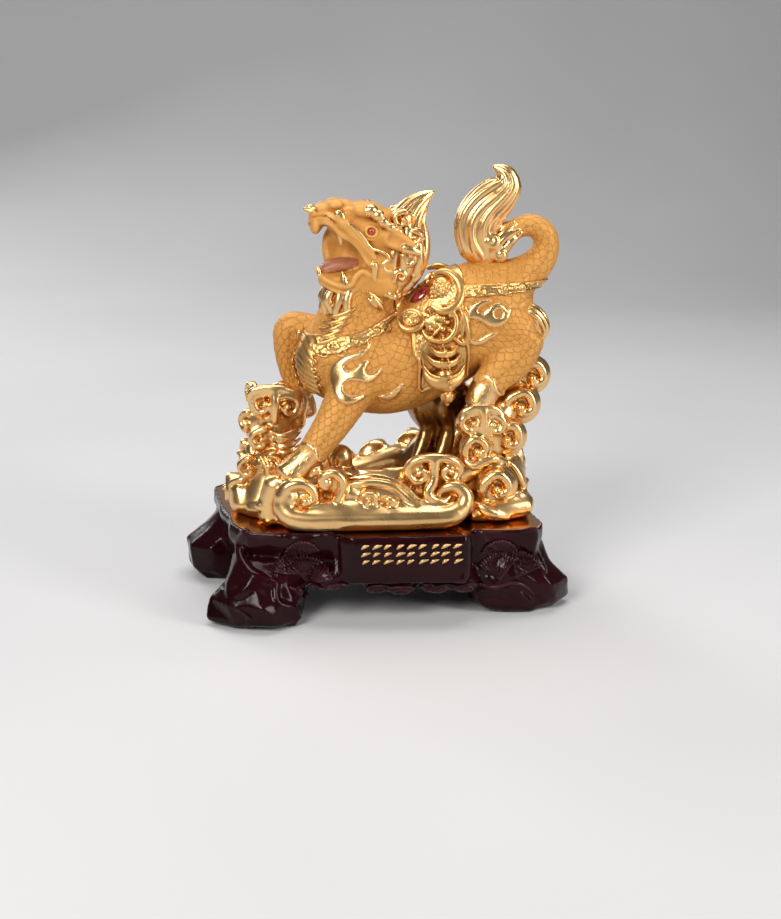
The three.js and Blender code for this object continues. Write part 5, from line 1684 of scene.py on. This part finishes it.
def saddle_far(material, body):
    """Far side of the saddle: the same cloth, plain but for its border, crescent and a fan of folds."""
    clay = Clay((4, -3, 74), (78, 46, 178), 0.9, band=4)
    skin = clay.borrow(*body)
    saddle_cloth(clay, skin, 1.6, 1.5)
    crescent(clay, 1)
    clay.add(ball(45.0, 15.5, 154.5, 8.6, 9.0, 9.6), 1.2)
    for k in range(5):
        start = 33 + 5.5 * k
        path = [(start, 138), (start + 0.6 * (k - 2), 126), (start + 1.2 * (k - 2), 112)]
        cord_on(clay, skin, path, [0.8, 2.0, 1.0], lift=1.8, side=1)
    bead_on(clay, skin, 44, 141, 4.2, lift=2.0, side=1)
    for middle, top in ((45, 108), (45, 100)):
        clay.add(bar([
            [middle - 11, 29, top, 1.2, 1.2], [middle - 5, 31.5, top - 5, 4, 3.6],
            [middle + 5, 31.5, top - 5, 4, 3.6],
            [middle + 11, 29, top, 1.2, 1.2],
        ], sides=20), 0.5)
    clay.trim(-0.9 - clay.axes()[1])
    carved(clay, "saddle_far", material, merge=0.02)


def between(line, edge_line, x, share):
    """Height that lies the share of the way from one line to the other."""
    return float(on_line(line, x) * (1 - share) + on_line(edge_line, x) * share)


def strap(clay, skin, line, edge_line, beads, drops, waves):
    """Band on the skin between two lines, with corded edges, beads and ringed drops."""
    x, y, z = clay.axes()
    below = on_line(line, x) - z
    above = z - on_line(edge_line, x)
    flat = np.maximum(-below, -above)
    band = sheet_on(skin, flat + 0 * y, 1.2)
    pebbles = 0.3 * np.sin(x * 3.3 + np.sin(z * 2.1)) * np.sin(z * 3.7 + np.sin(y * 2.3))
    clay.join(band - pebbles * np.clip(-flat / 0.8, 0, 1))
    for gap in (below - 0.6, below - 2.8, above - 0.6):
        clay.join(np.hypot(gap, skin - 1.3) - 0.6, 0.3)
    cos, sin = circle(13)
    for side in (-1, 1):
        for at in beads:
            at_z = between(line, edge_line, at, 0.58)
            bead_on(clay, skin, at, at_z, 2.3, lift=2.2, side=side)
            cord_on(clay, skin, zip(at + 3.6 * cos, at_z + 3.2 * sin), 0.7, lift=1.7, side=side)
        if waves:
            wavy = [(at, between(line, edge_line, at, 0.7) + 1.3 * math.sin(0.9 * at)) for at in waves]
            cord_on(clay, skin, wavy, 0.8, lift=1.6, side=side)
        for at in drops:
            at_z = float(on_line(edge_line, at)) + 0.6
            loop = zip(at + 4.2 * cos - 0.8 * sin, at_z + (2.6 + 0.7 * cos) * sin)
            cord_on(clay, skin, loop, 0.85, lift=1.2, side=side)
            bead_on(clay, skin, at + 0.8, at_z, 1.4, lift=1.2, side=side)


def straps(material, body):
    """Necklace band and crupper."""
    clay = Clay((-58, -34, 106), (20, 34, 146), 0.75, band=4)
    strap(clay, clay.borrow(*body), NECK_LINE, NECK_EDGE, (-43, -29, -15.7, 1.2), (-36.6, -25.4, -9.6, 6.2),
          range(-46, 9))
    x = clay.axes()[0]
    clay.trim(np.maximum(x - 16, -52 - x))
    carved(clay, "necklace", material, merge=0.02, share=0.1)
    clay = Clay((50, -34, 146), (130, 34, 166), 0.8, band=4)
    strap(clay, clay.borrow(*body), RUMP_LINE, RUMP_EDGE, (69.4, 87.5, 101), (), ())
    clay.trim(54 - clay.axes()[0])
    carved(clay, "crupper", material, merge=0.02)


def chest_plates(material, body):
    """Ridged plates down the front of the neck and chest, with hair that sweeps back from them."""
    clay = Clay((-60, -28, 80), (14, 26, 160), 0.75, band=4)
    skin = clay.borrow(*body)
    x, y, z = clay.axes()
    front = on_line(CHEST_LINE, z)
    flat = np.maximum(np.maximum(x - on_line(CHEST_EDGE, z), 84.5 - z), np.maximum(z - 127, front - 7 - x))
    arc = (144 - z) * 1.06 - 0.030 * (y + 4) ** 2 - 0.2 * (x - front)
    part = arc / 5.2 - np.floor(arc / 5.2)
    ridge = 2.0 * np.sqrt(np.clip(part, 0, 1)) * np.clip((1 - part) / 0.2, 0, 1)
    clay.join(sheet_on(skin, flat + 0 * y, 1.0 + ridge, soft=1.4))
    for side in (-1, 1):
        for k in range(5):
            path = []
            for step, rise in ((0.8, 1.0), (4.5, 0.4), (9.0, 1.6), (14.5, 4.8), (18.0, 7.0 - 0.6 * k)):
                at_z = 138.5 - 4.4 * k + rise
                path.append((float(on_line(CHEST_LINE, at_z)) + step, at_z))
            cord_on(clay, skin, path, [1.3, 1.9, 2.0, 1.7, 0.5], lift=0.9, side=side, blend=0.1)
        for k in range(3):
            path = [(-5 + 1.7 * k, 156 - k), (-1.5 + 2.0 * k, 151 - 0.6 * k), (2 + 1.6 * k, 146.4 + 0.4 * k),
                    (6.5, 142.4)]
            cord_on(clay, skin, path, [1.2, 1.7, 1.4, 0.4], lift=0.9, side=side)
        for k in range(6):
            pz = 121 - 6.0 * k
            px = float(on_line(CHEST_EDGE, pz))
            path = [(px - 3, pz + 1.5), (px, pz + 1.8), (px + 2.2, pz + 0.2), (px + 0.8, pz - 1.6),
                    (px - 1.4, pz - 0.6)]
            cord_on(clay, skin, path, [0.6, 1.0, 1.0, 0.9, 0.6], lift=1.0, side=side)
    carved(clay, "chest_plates", material, merge=0.02, share=0.01)


def hock_tuft(material):
    """Combed tuft behind the near hock."""
    stations = [[101, -12, 138, 8, 6], [106, -13, 136.5, 8, 7.5], [111.5, -13, 132, 7.5, 7],
                [115.5, -13, 126.5, 5.4, 5],
                [116.5, -13, 120, 1.6, 1.6]]
    clay = Clay((94, -26, 112), (126, 2, 150), 0.7, band=4)
    clay.add_all([bar(stations, sides=24)] + locks(stations, 9, 0.05, 1.0, 0.27, lift=0.94, twist=0.3), 0.6)
    clay.add_all(scroll(107.5, -19.5, 131, 4.2, spin=60, hand=-1, turns=1.1), 0.4)
    carved(clay, "hock_tuft", material, merge=0.02)


# Plinth, plate and stones.

def packed_mesh(name):
    """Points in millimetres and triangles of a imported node."""
    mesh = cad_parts[name].data
    mesh.calc_loop_triangles()
    points = np.empty(3 * len(mesh.vertices))
    mesh.vertices.foreach_get("co", points)
    triangles = np.empty(3 * len(mesh.loop_triangles), np.int32)
    mesh.loop_triangles.foreach_get("vertices", triangles)
    return METRE * points.reshape(-1, 3), triangles.reshape(-1, 3)


# Ridges of the rock on the front: [x, z] places, radius.
ROCK_RIDGES = [
    ([(-90.7, 61), (-93.5, 50), (-93.9, 43.4), (-85, 35), (-72, 31)], 3.0),
    ([(-85, 35), (-95.7, 24.5), (-107.7, 22.7)], 3.0),
    ([(-107.7, 22.7), (-99, 16), (-89.4, 9.2), (-91, 1)], 2.4),
    ([(-72, 31), (-71, 20), (-58, 12), (-60, 2)], 2.6),
    ([(-64.3, 61), (-68, 48), (-74.1, 34.2)], 1.8),
    ([(-42, 60.5), (-33, 60.5), (-31.5, 50), (-31, 33)], 1.8),
    ([(64.5, 60.4), (72.8, 52.3), (79, 46)], 2.0),
    ([(84.9, 60.5), (96, 51), (107.3, 41.2), (112, 30)], 2.0),
    ([(93.8, 28.8), (106, 20), (113.7, 7.8)], 2.4),
    ([(52.6, 31.7), (63.5, 32.0), (71.9, 24.5), (80.1, 23.5), (91.1, 27.4)], 2.4),
    ([(66, 14), (80, 18), (93, 16), (101, 8)], 2.6),
]
# Pine-needle fans on the front: [x, z, radius, middle angle, half angle].
FANS = [
    (-53.2, 45.5, 12.5, 93, 74), (-56.5, 32.5, 17.0, 128, 34), (-51.5, 27.2, 19.0, 72, 55),
    (81.2, 41.0, 13.0, 95, 74), (81.0, 24.0, 19.0, 98, 44), (91.5, 26.0, 19.5, 60, 40),
]
# Leaves of the apron: [x, z, half length, half height].
LEAVES = [(-3, 23.5, 9, 5.2), (12.5, 21.5, 12.5, 5.4), (29, 23.5, 7, 5.0), (42, 21.5, 12, 5.4),
          (58, 22, 9, 5.6), (-30, 26.5, 10, 3.6), (-44, 23.5, 8, 3.4)]


# The plinth is drawn at its own size, from the ground.
UNSCALED = {"lift": 0.0, "share": 1.0}


def fold(turn):
    """Wave with straight slopes, for flat facets with edges between them."""
    return np.arcsin(np.sin(turn)) / (0.5 * np.pi)


def plinth(material):
    """Lacquered rock-like plinth with softened edges and low ridges; returns it and its field."""
    clay = Clay(plinth_low - 4, plinth_high + 4, 1.15, band=6, **UNSCALED)
    clay.add(packed_mesh("plinth"), 0)
    x, y, z = clay.axes()
    # The rim and the panel stay crisp.
    sharp = np.clip((z - 58.5) / 2.5, 0, 1)
    off_panel = np.clip(np.maximum(np.maximum(-33 - x, x - 65), y + 58) / 4, 0, 1)
    clay.field = (clay.field * sharp + blurred(clay.field, 1) * (1 - sharp)).astype(np.float32)
    plain = clay.field.copy()
    for path, radius in ROCK_RIDGES:
        cord_on(clay, plain, path, radius, lift=-0.2 * radius, blend=2.2)
    facets = fold(0.125 * x + 0.085 * z + 0.4) + fold(0.06 * x - 0.16 * z + 0.05 * y + 2.0)
    facets = facets + fold(0.13 * y + 0.10 * z - 0.03 * x + 1.0)
    clay.field = clay.field + 0.85 * facets * off_panel * (1 - sharp)
    clay.trim(0.05 - z)
    carved(clay, "plinth_body", material, node="plinth", slot="dark_lacquer", merge=0.05)
    return clay, clay.field


def fan_sheet(x, z, skin, fan):
    """One fan of needles, as a thin ribbed sheet on the skin."""
    at_x, at_z, radius, middle, half = fan
    out = np.hypot(x - at_x, z - at_z)
    turn = np.arctan2(z - at_z, x - at_x) - math.radians(middle)
    turn = (turn + np.pi) % (2 * np.pi) - np.pi
    needles = round(2 * np.pi * radius / 2.3)
    comb = np.cos(needles * turn)
    rim = out - radius * (1 + 0.035 * comb)
    flat = np.maximum(rim, out * (np.abs(turn) - math.radians(half)))
    rise = 0.7 + 1.3 * np.clip(out / radius, 0, 1) ** 2 + 0.38 * comb * np.clip(out / 5, 0, 1)
    return sheet_on(skin, flat, rise, sink=1.0)


# Branch and vine of the apron: [x, z] places and half widths.
TWIGS = [
    ([(-20, 28), (-28, 25.6), (-38, 24), (-48, 20), (-55, 22), (-62, 27)], [0.6, 1.2, 1.7, 2.0, 2.2, 1.2]),
    ([(60, 26), (68, 21), (78, 20), (88, 23), (97, 21), (106, 13)], [0.6, 1.6, 1.8, 1.6, 1.4, 0.5]),
]


def plinth_carving(material, lacquered):
    """Pine-needle fans, leafy apron and branch carved on the front of the plinth."""
    clay = Clay((-82, -92, 12), (114, -46, 62), 0.75, band=4, **UNSCALED)
    skin = clay.borrow(*lacquered)
    x, y, z = clay.axes()
    for fan in FANS:
        clay.join(fan_sheet(x, z, skin, fan))
    for at_x, at_z, half, high in LEAVES:
        out = np.hypot((x - at_x) / half, (z - at_z) / high)
        rise = 0.9 + 1.1 * (1 - np.clip(out, 0, 1) ** 2) + 0.4 * np.cos(2 * np.pi * out * high / 2.2)
        clay.join(sheet_on(skin, (out - 1) * high, rise, sink=1.0), 0.3)
    for path, widths in TWIGS:
        cord_on(clay, skin, path, widths, lift=0.5, blend=0.8)
    bead_on(clay, skin, -57, 23, 4.0, lift=0.6, blend=1.0)
    bead_on(clay, skin, -51, 17, 2.6, lift=0.4, blend=1.0)
    carved(clay, "plinth_carving", material, node="plinth", slot="dark_lacquer", merge=0.02, share=0.03)


def panel_strokes(material, lacquered):
    """Rows of pale gold dashes on the panel."""
    clay = Clay((-19, -86, 41), (58, -66, 60), 0.5, band=3, **UNSCALED)
    skin = clay.borrow(*lacquered)
    for row in range(3):
        for k in range(9):
            at_x = -12.2 + 7.7 * k + 0.5 * math.sin(2.3 * k + row)
            at_z = 56.0 - 5.2 * row
            reach = 2.7 + 0.5 * math.sin(1.9 * k + 2 * row)
            path = [(at_x - reach, at_z - 1.3), (at_x - 0.3 * reach, at_z + 0.3), (at_x + reach, at_z + 1.2)]
            cord_on(clay, skin, path, [0.6, 1.35, 0.4], lift=0.1, blend=0.1)
    carved(clay, "panel_strokes", material, node="plinth", slot="mirror_gold", share=0.1)


def smooth_stone(name, node, form, material):
    """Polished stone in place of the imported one."""
    points = form[0]
    clay = Clay(points.min(axis=0) - 2, points.max(axis=0) + 2, 0.6)
    clay.add(form, 0)
    carved(clay, name, material, node=node, slot="red_stone")


def stones(material, eye_material):
    """Gem on the spine and the two eyes."""
    smooth_stone("gem_stone", "saddle_gem", ball(*GEM_AT, 8.8, 5.8, 4.0, **GEM_TURN), material)
    for name, node, (x, y, z, side) in zip(("eye_near", "eye_far"), ("eye_stone_near", "eye_stone_far"),
                                           EYES):
        smooth_stone(name, node, ball(x, y + 0.2 * side, z, 2.75), eye_material)


def dress(name, material):
    """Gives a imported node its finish."""
    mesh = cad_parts[name].data
    mesh.materials.clear()
    mesh.materials.append(material)


def dress_all():
    """Carves and finishes every piece."""
    bright = gilt("polished_gilt")
    satin = gilt("satin_gilt", rough=(0.3, 0.42), tone=SATIN)
    bare_body = body(matt_gilt("scaled_gilt", scales=True))
    saddle_near(satin, bare_body)
    saddle_far(satin, bare_body)
    straps(satin, bare_body)
    chest_plates(gilt("brushed_gilt", rough=(0.36, 0.46), tone=BRUSHED), bare_body)
    hock_tuft(bright)
    head(matt_gilt("matt_gilt_polished_carving"), tongue_skin())
    tail_tuft(bright)
    clouds_base(gilt("shaded_inner_gilt", shaded=True))
    clouds_left(bright)
    clouds_right(bright)
    clouds_front(bright)
    dark = lacquer()
    lacquered = plinth(dark)
    plinth_carving(dark, lacquered)
    panel_strokes(gilt("pale_gold_leaf", rough=(0.4, 0.5)), lacquered)
    dress("top_plate", plate_gilt())
    stones(stone("red_stone", GEM_RED), stone("orange_red_stone", EYE_RED))


camera()
lights()
pale_floor()
dress_all()
